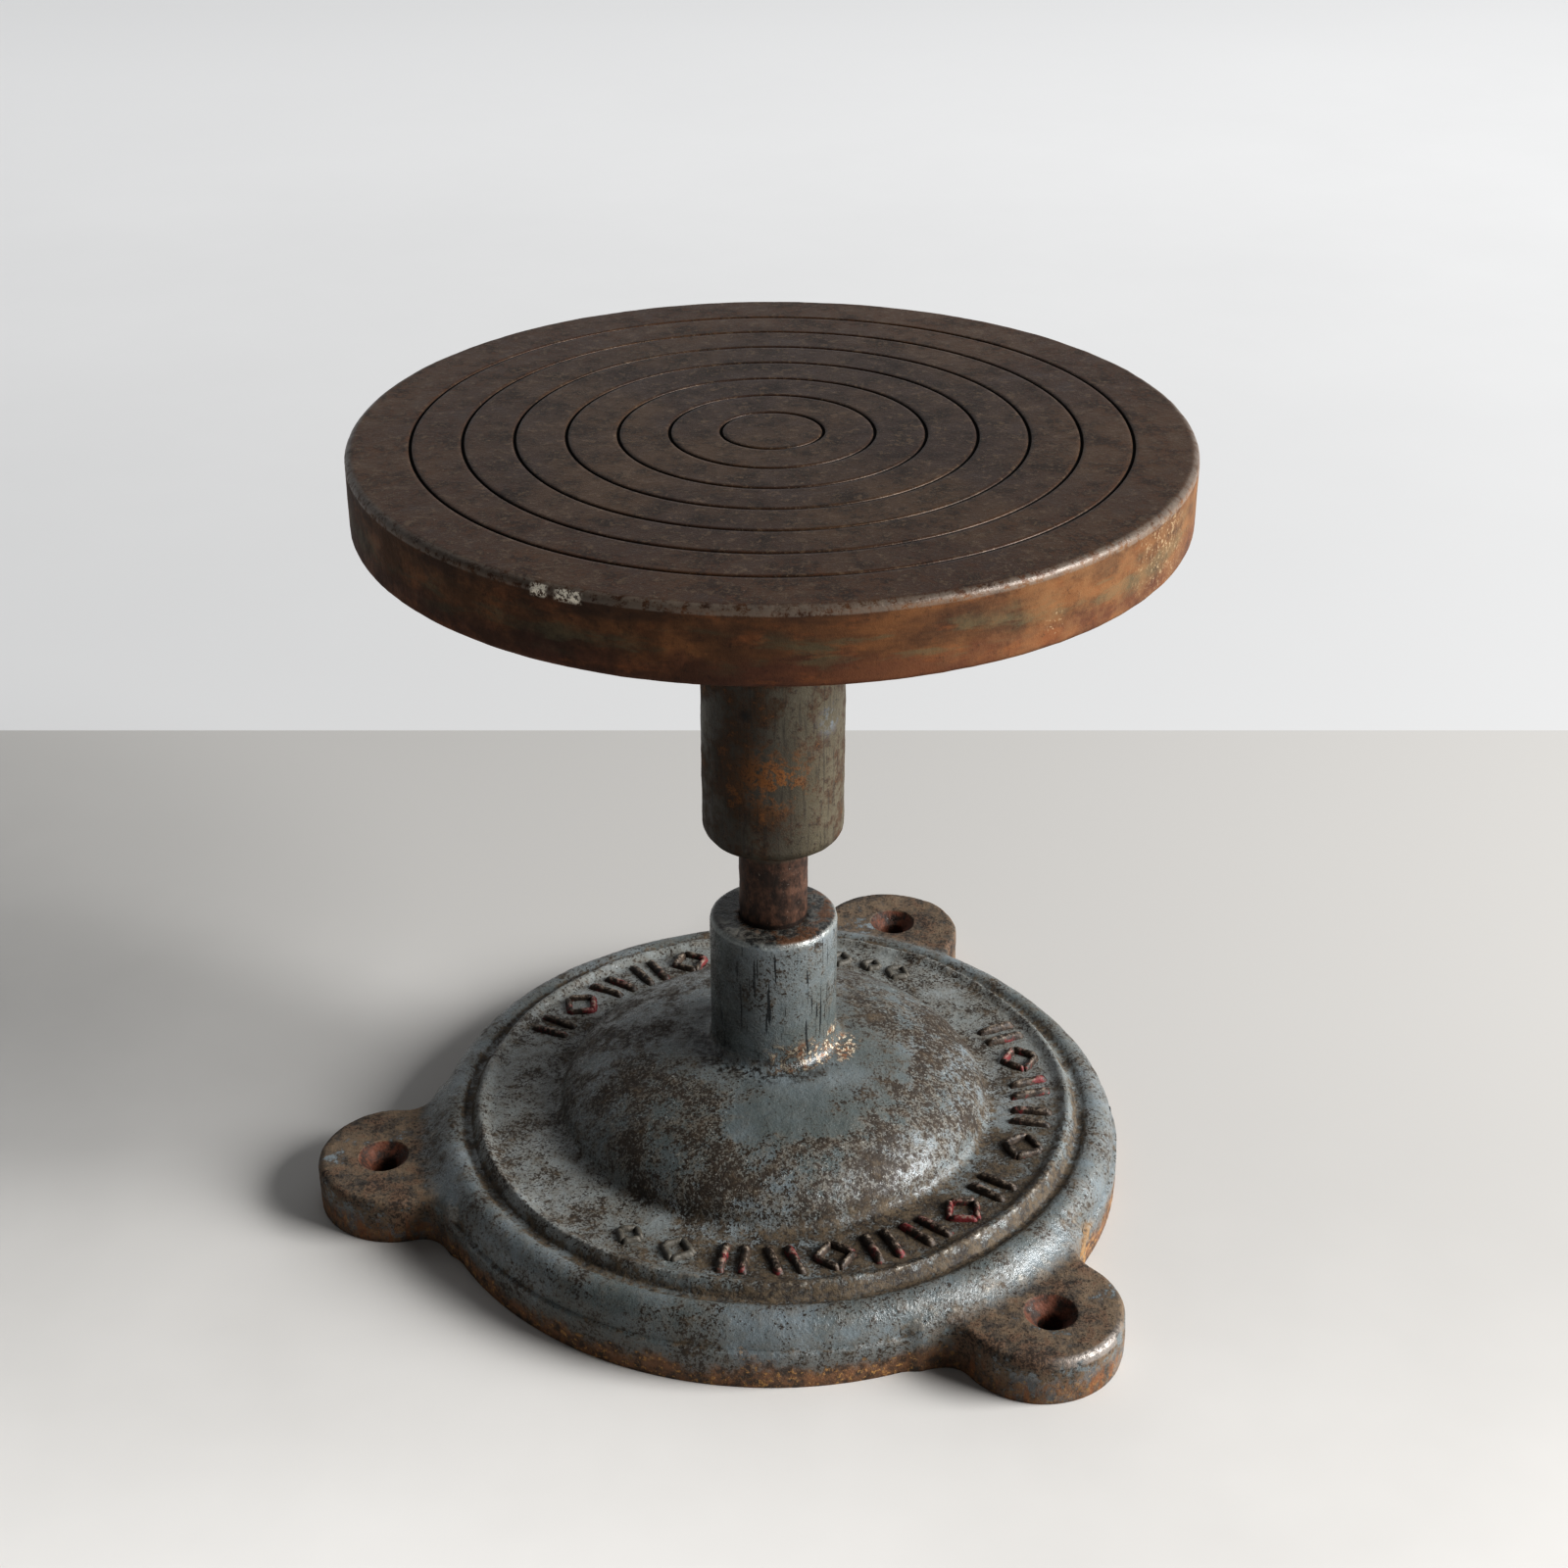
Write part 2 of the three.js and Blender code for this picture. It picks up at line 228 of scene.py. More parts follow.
def turned(name, profile, sides, closed=False):
    """A profile of (radius, height) turned round the axis. It runs anticlockwise, with the radius to the
    right, and either starts and ends on the axis or is closed on itself."""
    angles = np.arange(sides) * 2 * math.pi / sides
    rings = profile if closed else profile[1:-1]
    vertices = [(r * math.cos(a), r * math.sin(a), z) for r, z in rings for a in angles]
    count = len(rings)
    faces = []
    for i in range(count if closed else count - 1):
        j = (i + 1) % count
        for k in range(sides):
            m = (k + 1) % sides
            faces.append((i * sides + k, i * sides + m, j * sides + m, j * sides + k))
    if not closed:
        first = len(vertices)
        vertices += [(0, 0, profile[0][1]), (0, 0, profile[-1][1])]
        top = (count - 1) * sides
        for k in range(sides):
            m = (k + 1) % sides
            faces.append((first, m, k))
            faces.append((first + 1, top + k, top + m))
    piece = link(name, vertices, faces)
    crease(piece, TURNED_CREASE)
    return piece


def worn(piece, layers, keep=None):
    """Moves each vertex along its normal by noise. A layer is (size of its lumps, height of its lumps,
    seed). keep(x, y, z) from 0 to 1 says how much of it a place gets."""
    mesh = piece.data

    def read(what):
        values = np.empty(len(mesh.vertices) * 3, np.float32)
        mesh.vertices.foreach_get(what, values)
        return values.reshape(-1, 3)

    at = read("co") / MM
    normal = read("normal")
    shift = np.zeros(len(at))
    for size, height, seed in layers:
        offset = Vector([seed * stride for stride in SEED_STRIDE])
        shift += height * np.array([noise.noise(Vector(p) / size + offset) for p in at.tolist()])
    if keep is not None:
        shift *= keep(at[:, 0], at[:, 1], at[:, 2])
    moved = (at + normal * shift[:, None]) * MM
    mesh.vertices.foreach_set("co", moved.ravel().astype(np.float32))
    mesh.update()


# ---- distance fields for the cast base

class DistanceTable:
    """Signed distance to a closed outline in a plane, negative inside, read from a fine grid."""

    def __init__(self, outline, low, high):
        self.low = np.array(low, float)
        counts = np.ceil((np.array(high, float) - self.low) / TABLE_STEP).astype(int) + 1
        axes = [self.low[i] + np.arange(counts[i]) * TABLE_STEP for i in (0, 1)]
        x, y = np.meshgrid(*axes, indexing="ij")
        nearest = np.full(x.shape, 1e9)
        inside = np.zeros(x.shape, bool)
        for (ax, ay), (bx, by) in zip(outline, np.roll(outline, -1, axis=0)):
            dx, dy = bx - ax, by - ay
            length = dx * dx + dy * dy
            if length < 1e-12:
                continue
            along = np.clip(((x - ax) * dx + (y - ay) * dy) / length, 0, 1)
            nearest = np.minimum(nearest, (x - ax - along * dx) ** 2 + (y - ay - along * dy) ** 2)
            if ay != by:
                crosses = ((ay > y) != (by > y)) & (x < ax + (y - ay) * dx / dy)
                inside ^= crosses
        self.values = np.where(inside, -1, 1) * np.sqrt(nearest)

    def __call__(self, x, y):
        places = []
        for value, low, count in zip((x, y), self.low, self.values.shape):
            place = np.clip((value - low) / TABLE_STEP, 0, count - 1.001)
            cell = place.astype(int)
            places.append((cell, place - cell))
        (i, u), (j, v) = places
        near = self.values[i, j] * (1 - v) + self.values[i, j + 1] * v
        far = self.values[i + 1, j] * (1 - v) + self.values[i + 1, j + 1] * v
        return near * (1 - u) + far * u


def smooth_min(a, b, blend):
    share = np.clip(0.5 + 0.5 * (b - a) / blend, 0, 1)
    return b * (1 - share) + a * share - blend * share * (1 - share)


def smooth_max(a, b, blend):
    return -smooth_min(-a, -b, blend)


def base_outline():
    """The turned part of the base, without its hollow, running below the floor to be cut off there."""
    dome = elliptic((0, RING_Z), (DOME_R, DOME_RISE), 8, 70, 16)
    stem_foot_r = STEM_R + STEM_FILLET
    stem_foot_z = RING_Z + DOME_RISE * math.sqrt(1 - (STEM_R / DOME_R) ** 2)
    dome = [p for p in dome if p[0] > stem_foot_r + 1]
    bead_width = BASE_R - RIM_LEDGE - BEAD_CREST_R
    bead_height = BEAD_TOP - RIM_EDGE_Z - 0.4
    bead = elliptic((BEAD_CREST_R, RIM_EDGE_Z + 0.4), (bead_width, bead_height), 4, 90, 10)
    bead += elliptic((BEAD_CREST_R, BEAD_TOP - 2), (2.6, 2), 105, 150, 3)
    corners = [
        (0, -OUTER_DEPTH, 0),
        (BASE_R, -OUTER_DEPTH, 0),
        (BASE_R, RIM_EDGE_Z, 0.7),
        (BASE_R - RIM_LEDGE, RIM_EDGE_Z + 0.3, 0.2),
        *bead,
        (COVE_R, COVE_Z, 1.0),
        (RIDGE_R + 0.5, RIDGE_TOP, 0.7),
        (RIDGE_R - 0.5, RIDGE_TOP, 0.7),
        (RING_OUTER_R, RING_Z, 1.5),
        (DOME_R + 0.3, RING_Z, DOME_FOOT_FILLET),
        *dome,
        (STEM_R, stem_foot_z - 0.3, STEM_FILLET),
        (STEM_R, STEM_TOP, STEM_EDGE_ROUND),
        (0, STEM_TOP - 0.6, 0),
    ]
    return rounded(corners, support=9)


def hollow_outline():
    """The turned hollow under the base and up inside the dome, round the central boss."""
    inner_r = BASE_R - WALL
    dome_inner_r = DOME_R - DOME_WALL
    dome = elliptic((0, ROOF_Z), (dome_inner_r, DOME_RISE), 10, 67, 8)
    corners = [
        (BOSS_R, -HOLLOW_DEPTH, 0),
        (inner_r, -HOLLOW_DEPTH, 0),
        (inner_r, ROOF_Z, ROOF_CORNER),
        (dome_inner_r, ROOF_Z, 2),
        *dome,
        (BOSS_R + 1, dome[-1][1], 0),
    ]
    return rounded(corners, support=99)


def lug_plan():
    """Outline of a lug seen from above, on +X, with a fillet on each side where it leaves the rim."""
    reach_lug = LUG_TIP_R + LUG_ROOT_FILLET
    reach_base = BASE_R + LUG_ROOT_FILLET
    fillet_x = (reach_base**2 - reach_lug**2 + LUG_CENTRE_R**2) / (2 * LUG_CENTRE_R)
    fillet_y = math.sqrt(reach_base**2 - fillet_x**2)
    to_lug = math.degrees(math.atan2(-fillet_y, LUG_CENTRE_R - fillet_x))
    to_base = math.degrees(math.atan2(-fillet_y, -fillet_x))
    fillet = (LUG_ROOT_FILLET, LUG_ROOT_FILLET)
    tip = 180 + to_lug
    side = [
        *elliptic((fillet_x, -fillet_y), fillet, -to_base, -to_lug, 8),
        *elliptic((LUG_CENTRE_R, 0), (LUG_TIP_R, LUG_TIP_R), -tip, tip, 48)[1:-1],
        *elliptic((fillet_x, fillet_y), fillet, to_lug, to_base, 8),
    ]
    root_y = fillet_y - LUG_ROOT_FILLET
    return np.array([(x, y) for x, y, _ in side] + [(LUG_ROOT_R, root_y), (LUG_ROOT_R, -root_y)])


# Each table runs from one corner to the other, a little past what it is read for.
OUTER = DistanceTable(base_outline(), (0, -12), (140, 95))
HOLLOW = DistanceTable(hollow_outline(), (0, -14), (140, 45))
PLAN = DistanceTable(lug_plan(), (75, -45), (145, 45))


def lug_axes(x, y, angle):
    """x and y in a lug's own axes: outwards, and to the left."""
    turn = math.radians(angle)
    return x * math.cos(turn) + y * math.sin(turn), y * math.cos(turn) - x * math.sin(turn)


def base_distance(x, y, z):
    """Signed distance to the cast base, in millimetres."""
    r = np.hypot(x, y)
    distance = OUTER(r, z)
    for angle in LUG_ANGLES.values():
        u, v = lug_axes(x, y, angle)
        side = PLAN(u, v) + LUG_EDGE_ROUND
        over = z - LUG_HEIGHT + LUG_EDGE_ROUND
        outside = np.hypot(np.maximum(side, 0), np.maximum(over, 0))
        lug = np.minimum(np.maximum(side, over), 0) + outside - LUG_EDGE_ROUND
        distance = smooth_min(distance, lug, LUG_BLEND)
    distance = smooth_max(distance, -HOLLOW(r, z), HOLLOW_BLEND)
    for angle in LUG_ANGLES.values():
        u, v = lug_axes(x, y, angle)
        from_hole = np.hypot(u - SCREW_CENTRE_R, v)
        cone = (from_hole - COUNTERSINK_R + LUG_HEIGHT - z) * math.sqrt(0.5)
        hole = smooth_min(from_hole - SCREW_HOLE_R, cone, COUNTERSINK_BLEND)
        distance = smooth_max(distance, -hole, HOLE_EDGE_BLEND)
    bore = np.maximum(r - SPINDLE_R + PRESS_OVERLAP, SPINDLE_BOTTOM - SOCKET_GAP - z)
    pin = np.maximum(np.hypot(y, z - PIN_Z) - PIN_HOLE_R, np.abs(x) - PIN_HOLE_HALF)
    distance = smooth_max(distance, -bore, BORE_EDGE_BLEND)
    distance = smooth_max(distance, -pin, BORE_EDGE_BLEND)
    return smooth_max(distance, -z, FOOT_EDGE_BLEND)


def skin(distance, low, high, step):
    """The zero surface of a distance field as (vertices, quads): one vertex in each cell that the
    surface crosses, settled on any edge there, then two steps along the slope to lie on the surface."""
    axes = [np.arange(low[i], high[i] + step, step) for i in range(3)]
    x, y = np.meshgrid(axes[0], axes[1], indexing="ij")
    field = np.stack([distance(x, y, np.full(x.shape, z)) for z in axes[2]], axis=2).astype(np.float32)
    inside = field < 0
    corners = [(i, j, k) for i in (0, 1) for j in (0, 1) for k in (0, 1)]
    size = np.array(field.shape) - 1
    found = np.zeros(size, np.int8)
    for i, j, k in corners:
        found += inside[i:i + size[0], j:j + size[1], k:k + size[2]]
    cells = np.argwhere((found > 0) & (found < 8))
    total = np.zeros((len(cells), 3))
    hits = np.zeros(len(cells))
    for c in corners:
        for axis in range(3):
            if c[axis]:
                continue
            d = tuple(c[i] + (i == axis) for i in range(3))
            a = field[tuple((cells + c).T)]
            b = field[tuple((cells + d).T)]
            crossed = (a < 0) != (b < 0)
            share = np.where(crossed, a / np.where(crossed, a - b, 1), 0)
            place = np.repeat(np.array([c], float), len(cells), axis=0)
            place[:, axis] += share
            total += place * crossed[:, None]
            hits += crossed
    origin = np.array([a[0] for a in axes])
    vertices = origin + (cells + total / hits[:, None]) * step
    vertices = settled(distance, vertices, [origin + (cells + c) * step for c in corners], step)
    number = np.full(size, -1)
    number[tuple(cells.T)] = np.arange(len(cells))
    quads = []
    for axis in range(3):
        flips = np.argwhere(np.diff(inside, axis=axis))
        b, c = (axis + 1) % 3, (axis + 2) % 3
        flips = flips[(flips[:, b] > 0) & (flips[:, c] > 0)]
        around = []
        for back_b, back_c in ((0, 0), (1, 0), (1, 1), (0, 1)):
            cell = flips.copy()
            cell[:, b] -= back_b
            cell[:, c] -= back_c
            around.append(number[tuple(cell.T)])
        quad = np.stack(around, axis=1)
        outward = inside[tuple(flips.T)]
        quads.append(np.where(outward[:, None], quad, quad[:, ::-1]))
    for _ in range(2):
        slope = slope_of(distance, vertices)
        vertices = vertices - slope * distance(*vertices.T)[:, None]
    return vertices, np.concatenate(quads)


def settled(distance, start, cell_corners, step, hold=0.05):
    """Each vertex moved to where the planes seen from its cell's corners meet, which keeps edges crisp.
    The hold is a slight pull back to the start."""
    matrix = np.zeros((len(start), 3, 3)) + np.eye(3) * hold
    target = start * hold
    for at in cell_corners:
        slope = slope_of(distance, at)
        target += slope * ((slope * at).sum(axis=1) - distance(*at.T))[:, None]
        matrix += slope[:, :, None] * slope[:, None, :]
    shift = np.linalg.solve(matrix, target[:, :, None])[:, :, 0] - start
    length = np.maximum(np.linalg.norm(shift, axis=1), 1e-9)
    return start + shift * np.minimum(1, 0.8 * step / length)[:, None]


def slope_of(distance, at, reach=0.15):
    """Unit vectors that point straight away from the surface."""
    slope = np.empty(at.shape)
    for axis in range(3):
        step = np.zeros(3)
        step[axis] = reach
        slope[:, axis] = distance(*(at + step).T) - distance(*(at - step).T)
    return slope / np.maximum(np.linalg.norm(slope, axis=1), 1e-9)[:, None]


def mark(piece, name, values):
    """Stores a number at each vertex for the materials to read."""
    attribute = piece.data.attributes.new(name, "FLOAT", "POINT")
    attribute.data.foreach_set("value", np.asarray(values, np.float32))


def cast_base():
    low = np.array(BASE_LOW) / MM - 2
    high = np.array(BASE_HIGH) / MM + 2
    vertices, quads = skin(base_distance, low, high, CAST_STEP)
    piece = link("base_casting_worn", vertices, quads)
    slope = slope_of(base_distance, vertices)
    open_air = base_distance(*(vertices + slope * CAVITY_REACH).T) / CAVITY_REACH
    covered = -base_distance(*(vertices - slope * EDGE_REACH).T) / EDGE_REACH
    mark(piece, "cavity", np.clip(1 - open_air, 0, 1))
    mark(piece, "edge", np.clip(1 - covered, 0, 1))

    def cast_skin(x, y, z):
        r = np.hypot(x, y)
        crisp_stem = np.clip((r - STEM_R - 1) / 4, 0.3, 1)
        battered = 1 + 0.8 * np.clip(1 - np.abs(r - RIDGE_R) / 4, 0, 1)
        return np.clip((z - 0.6) / 2, 0, 1) * (r > SPINDLE_R + 1) * crisp_stem * battered

    worn(piece, [(34, 0.4, 1), (11, 0.24, 2), (3.2, 0.14, 3)], cast_skin)
    crease(piece, CAST_CREASE)
    return piece


# ---- turned pieces

def wheel_head():
    socket_r = HUB_R + SOCKET_GAP
    socket_roof = HUB_TOP + SOCKET_GAP
    pad_low, pad_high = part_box("thrust_pad")
    pocket_r = (pad_high.x - pad_low.x) / 2 / MM + SOCKET_GAP
    pocket_roof = pad_high.z / MM + SOCKET_GAP
    half = GROOVE_WIDTH / 2
    chamfer, chamfer_depth = GROOVE_CHAMFER
    groove = [
        (half + GROOVE_SHOULDER, 0),
        (half + chamfer, 0),
        (half, chamfer_depth),
        (GROOVE_FLOOR_WIDTH / 2, GROOVE_DEPTH),
    ]
    groove += [(-across, depth) for across, depth in reversed(groove)]
    middles = [n * GROOVE_PITCH for n in range(GROOVE_COUNT, 0, -1)]
    grooves = [(r + across, HEAD_TOP - depth, 0) for r in middles for across, depth in groove]
    corners = [
        (0, pocket_roof, 0),
        (pocket_r, pocket_roof, 0),
        (pocket_r, socket_roof, 0),
        (socket_r, socket_roof, 0),
        (socket_r, HEAD_LOWEST, 0.5),
        (HEAD_BOSS_R, HEAD_LOWEST, 1),
        (HEAD_BOSS_R, HEAD_UNDERSIDE, HEAD_BOSS_FILLET),
        (HEAD_R, HEAD_UNDERSIDE, HEAD_BOTTOM_ROUND),
        (HEAD_R, HEAD_TOP, HEAD_TOP_ROUND),
        *grooves,
        (0, HEAD_TOP, 0),
    ]
    piece = turned("wheel_head_worn", divided(rounded(corners), HEAD_STRETCH), HEAD_SIDES)

    def rim_only(x, y, z):
        return np.clip((np.hypot(x, y) - HEAD_R + 4) / 3, 0, 1)

    worn(piece, [(26, 0.08, 4), (6, 0.08, 5), (2.4, 0.06, 6)], rim_only)
    return piece


def hub_sleeve():
    mouth_top = HUB_BOTTOM + HUB_MOUTH_DEPTH
    corners = [
        (HUB_MOUTH_R, HUB_BOTTOM + 0.6, 0),
        (HUB_MOUTH_R + 0.6, HUB_BOTTOM, 0),
        (HUB_R, HUB_BOTTOM, HUB_ROUND),
        (HUB_R, HUB_TOP, 0),
        (HUB_BORE_R, HUB_TOP, 0),
        (HUB_BORE_R, mouth_top, 0),
        (HUB_MOUTH_R, mouth_top, 0),
    ]
    profile = divided(rounded(corners, steps=8), SMALL_STRETCH)
    piece = turned("hub_sleeve_worn", profile, HUB_SIDES, closed=True)

    def outside(x, y, z):
        return (np.hypot(x, y) > HUB_R - HUB_ROUND) * np.clip((HEAD_LOWEST - z) / 3, 0, 1)

    worn(piece, [(14, 0.16, 7), (4, 0.12, 8), (1.8, 0.06, 9)], outside)
    return piece


def spindle():
    corners = [
        (0, SPINDLE_BOTTOM, 0),
        (SPINDLE_R, SPINDLE_BOTTOM, SPINDLE_ROUND),
        (SPINDLE_R, SPINDLE_TOP, SPINDLE_ROUND),
        (SEAT_POCKET_R, SPINDLE_TOP, 0),
        (SEAT_POCKET_R, SPINDLE_TOP - SEAT_POCKET_DEPTH, 0),
        (0, SPINDLE_TOP - SEAT_POCKET_DEPTH, 0),
    ]
    piece = turned("spindle_worn", divided(rounded(corners), SMALL_STRETCH), SPINDLE_SIDES)

    def bare(x, y, z):
        seen = np.clip((z - STEM_TOP) / 2, 0, 1) * np.clip((HUB_BOTTOM - z) / 2, 0, 1)
        return seen * (np.hypot(x, y) > SPINDLE_R - SPINDLE_ROUND)

    worn(piece, [(5, 0.12, 10), (1.7, 0.08, 11)], bare)
    return piece


# ---- raised border

BORDER_R = 73.6
BORDER_HEIGHT = 1.6
BORDER_SINK = 0.4
BAR_LENGTH = 12.5
BAR_WIDTH = 3.0
BAR_OFFSET = 2.2
BAR_LEAN = 16
LOZENGE_SIZE = 5.2
LOZENGE_BAR_WIDTH = 2.4
SMALL_HEIGHT = BORDER_HEIGHT * 0.8
# Groups of marks as (first, last) azimuth and number, and small diamonds as azimuth and size.
BORDER_GROUPS = [(153, 111, 5), (24, -20, 5), (-36, -98, 7)]
SMALL_LOZENGES = [(-110, 4.2), (-121, 3.4), (74, 3.4), (66, 2.8), (59, 3.4)]


def raised_bar(vertices, faces, radius, angle, length, width, slant=0.0, height=BORDER_HEIGHT):
    """A low bar with a crowned top. It lies along the radius, turned by the slant in degrees."""
    rows, columns = 12, 6
    turn = math.radians(angle)
    lean = turn + math.radians(slant)
    centre = np.array([radius * math.cos(turn), radius * math.sin(turn)])
    along = np.array([math.cos(lean), math.sin(lean)])
    across = np.array([-along[1], along[0]])
    first = len(vertices)
    for side in (1, -1):
        for i in range(rows + 1):
            s = 2 * i / rows - 1
            for j in range(columns + 1):
                t = 2 * j / columns - 1
                spread = 1 - 0.12 * abs(s) ** 6
                x, y = centre + along * s * length / 2 + across * t * spread * width / 2
                crown = (1 - abs(s) ** 8) * (1 - abs(t) ** 3)
                z = RING_Z - BORDER_SINK
                z += (height + BORDER_SINK) * crown if side == 1 else -0.3
                vertices.append((x, y, z))
    span = columns + 1
    under = (rows + 1) * span
    for i in range(rows):
        for j in range(columns):
            a = first + i * span + j
            faces.append((a, a + span, a + span + 1, a + 1))
            b = a + under
            faces.append((b, b + 1, b + span + 1, b + span))
    rim = [i * span for i in range(rows + 1)]
    rim += [rows * span + j for j in range(1, span)]
    rim += [i * span + columns for i in range(rows - 1, -1, -1)]
    rim += list(range(columns - 1, 0, -1))
    for a, b in zip(rim, rim[1:] + rim[:1]):
        faces.append((first + a, first + a + under, first + b + under, first + b))


def lozenge(vertices, faces, angle, size, height):
    """Four short bars set as a diamond."""
    step = math.degrees(size / 2 / BORDER_R)
    for radial, around in ((1, 1), (1, -1), (-1, 1), (-1, -1)):
        raised_bar(
            vertices, faces, BORDER_R + radial * size / 2, angle + around * step,
            size * 1.6, LOZENGE_BAR_WIDTH, slant=-45 * radial * around, height=height,
        )


def raised_border():
    """Plain bars and diamonds where the real ring has raised words."""
    vertices, faces = [], []
    for start, end, count in BORDER_GROUPS:
        pitch = (end - start) / (count - 1)
        for n in range(count):
            angle = start + n * pitch
            if n % 3 == 1:
                lozenge(vertices, faces, angle, LOZENGE_SIZE, BORDER_HEIGHT)
                continue
            lean = 0 if n % 3 == 0 else BAR_LEAN
            for offset in (-BAR_OFFSET, BAR_OFFSET):
                at = angle + offset
                raised_bar(vertices, faces, BORDER_R, at, BAR_LENGTH, BAR_WIDTH, slant=lean)
    for angle, size in SMALL_LOZENGES:
        lozenge(vertices, faces, angle, size, SMALL_HEIGHT)
    piece = link("ring_border", vertices, faces)
    crease(piece, BORDER_CREASE)
    worn(piece, [(4, 0.25, 12), (1.5, 0.16, 13)])
    return piece


# ---- materials

def linear(hexcode):
    """(r, g, b, 1) in linear light from a colour written as on screen."""
    channels = [int(hexcode[i:i + 2], 16) / 255 for i in (0, 2, 4)]
    light = [c / 12.92 if c <= 0.04045 else ((c + 0.055) / 1.055) ** 2.4 for c in channels]
    return (*light, 1)


PER_METRE = 1000
# Offset in a grain's own space from one seed to the next, and the height where the stem meets the dome.
GRAIN_SHIFT = (0.731, 0.417, 0.293)
STEM_FOOT_Z = 43


class Finish:
    """A node material, and shorthands that add nodes and return the last one's output socket. x and y
    are in metres; z and the distance r from the axis are in millimetres."""

    def __init__(self, name):
        self.material = bpy.data.materials.new(name)
        self.material.use_nodes = True
        self.tree = self.material.node_tree
        self.shader = self.tree.nodes["Principled BSDF"]
        self.place = self.add("ShaderNodeTexCoord").outputs["Object"]
        self.x, self.y, z = self.add("ShaderNodeSeparateXYZ", Vector=self.place).outputs
        squares = self.plus(self.both(self.x, self.x), self.both(self.y, self.y))
        self.z = self.both(z, PER_METRE)
        self.r = self.both(self.math("SQRT", squares), PER_METRE)

    def add(self, kind, **inputs):
        made = self.tree.nodes.new(kind)
        for name, value in inputs.items():
            self.feed(made.inputs[name], value)
        return made

    def feed(self, socket, value):
        if isinstance(value, bpy.types.NodeSocket):
            self.tree.links.new(value, socket)
        else:
            socket.default_value = value

    def math(self, operation, a, b=0.0):
        made = self.tree.nodes.new("ShaderNodeMath")
        made.operation = operation
        self.feed(made.inputs[0], a)
        self.feed(made.inputs[1], b)
        return made.outputs[0]

    def chain(self, operation, values):
        result = values[0]
        for value in values[1:]:
            result = self.math(operation, result, value)
        return result

    def plus(self, *values):
        """The sum."""
        return self.chain("ADD", values)

    def both(self, *values):
        """The product, which for masks is where all of them are."""
        return self.chain("MULTIPLY", values)

    def either(self, *values):
        """The largest, which for masks is where any of them is."""
        return self.chain("MAXIMUM", values)

    def no(self, value):
        return self.math("SUBTRACT", 1.0, value)

    def swing(self, value):
        """How far a grain is above or below its middle."""
        return self.math("SUBTRACT", value, 0.5)

    def rise(self, value, low, high):
        """A smooth step from 0 to 1 as the value goes from low to high."""
        made = self.add("ShaderNodeMapRange", **{"Value": value, "From Min": low, "From Max": high})
        made.interpolation_type = "SMOOTHSTEP"
        return made.outputs["Result"]

    def within(self, value, low, high, soft):
        """1 between low and high, with soft edges."""
        above = self.rise(value, low - soft, low + soft)
        return self.both(above, self.rise(value, high + soft, high - soft))

    def toward(self, centre, half, soft):
        """1 near an azimuth in degrees, with no seam at 180."""
        turn = math.radians(centre)
        along = self.plus(self.both(self.x, math.cos(turn)), self.both(self.y, math.sin(turn)))
        cosine = self.math("DIVIDE", self.both(along, PER_METRE), self.math("MAXIMUM", self.r, 0.1))
        inner = math.cos(math.radians(max(half - soft, 0)))
        outer = math.cos(math.radians(min(half + soft, 180)))
        return self.rise(cosine, outer, inner)

    def nearer(self, place, x, y, z, radius, soft):
        made = self.tree.nodes.new("ShaderNodeVectorMath")
        made.operation = "DISTANCE"
        self.feed(made.inputs[0], place)
        made.inputs[1].default_value = (x * MM, y * MM, z * MM)
        return self.rise(made.outputs["Value"], (radius + soft) * MM, max(radius - soft, 0) * MM)

    def near_point(self, x, y, z, radius, soft):
        """1 inside a ball, in millimetres."""
        return self.nearer(self.place, x, y, z, radius, soft)

    def near_axis(self, out, angle, radius, soft):
        """1 inside an upright cylinder whose middle is this far out at this azimuth."""
        flat = self.add("ShaderNodeCombineXYZ", X=self.x, Y=self.y).outputs[0]
        turn = math.radians(angle)
        return self.nearer(flat, out * math.cos(turn), out * math.sin(turn), 0, radius, soft)

    def grain(self, size, detail, rough, seed, stretch=(1, 1, 1)):
        """Noise from 0 to 1 whose lumps are about this many millimetres across, times the stretch."""
        mapping = self.add("ShaderNodeMapping", Vector=self.place)
        mapping.inputs["Location"].default_value = [seed * shift for shift in GRAIN_SHIFT]
        mapping.inputs["Scale"].default_value = [PER_METRE / size / s for s in stretch]
        made = self.add("ShaderNodeTexNoise", Vector=mapping.outputs[0])
        made.inputs["Scale"].default_value = 1
        made.inputs["Detail"].default_value = detail
        made.inputs["Roughness"].default_value = rough
        return made.outputs["Fac"]

    def stored(self, name):
        """What mark() put at each vertex."""
        made = self.tree.nodes.new("ShaderNodeAttribute")
        made.attribute_name = name
        return made.outputs["Fac"]

    def colour(self, first, second, *masks):
        """The second colour laid over the first where all of the masks are. Each colour is a hex code
        or a socket."""
        made = self.tree.nodes.new("ShaderNodeMix")
        made.data_type = "RGBA"
        self.feed(made.inputs[0], self.both(*masks))
        for socket, given in zip(made.inputs[6:8], (first, second)):
            self.feed(socket, linear(given) if isinstance(given, str) else given)
        return made.outputs[2]

    def number(self, first, second, *masks):
        """The same for two numbers."""
        made = self.tree.nodes.new("ShaderNodeMix")
        self.feed(made.inputs[0], self.both(*masks))
        self.feed(made.inputs[2], first)
        self.feed(made.inputs[3], second)
        return made.outputs[0]

    def lay(self, colour, *masks):
        """Adds a coat to the material's own colour. The first coat has no masks."""
        self.base = self.colour(self.base, colour, *masks) if masks else colour

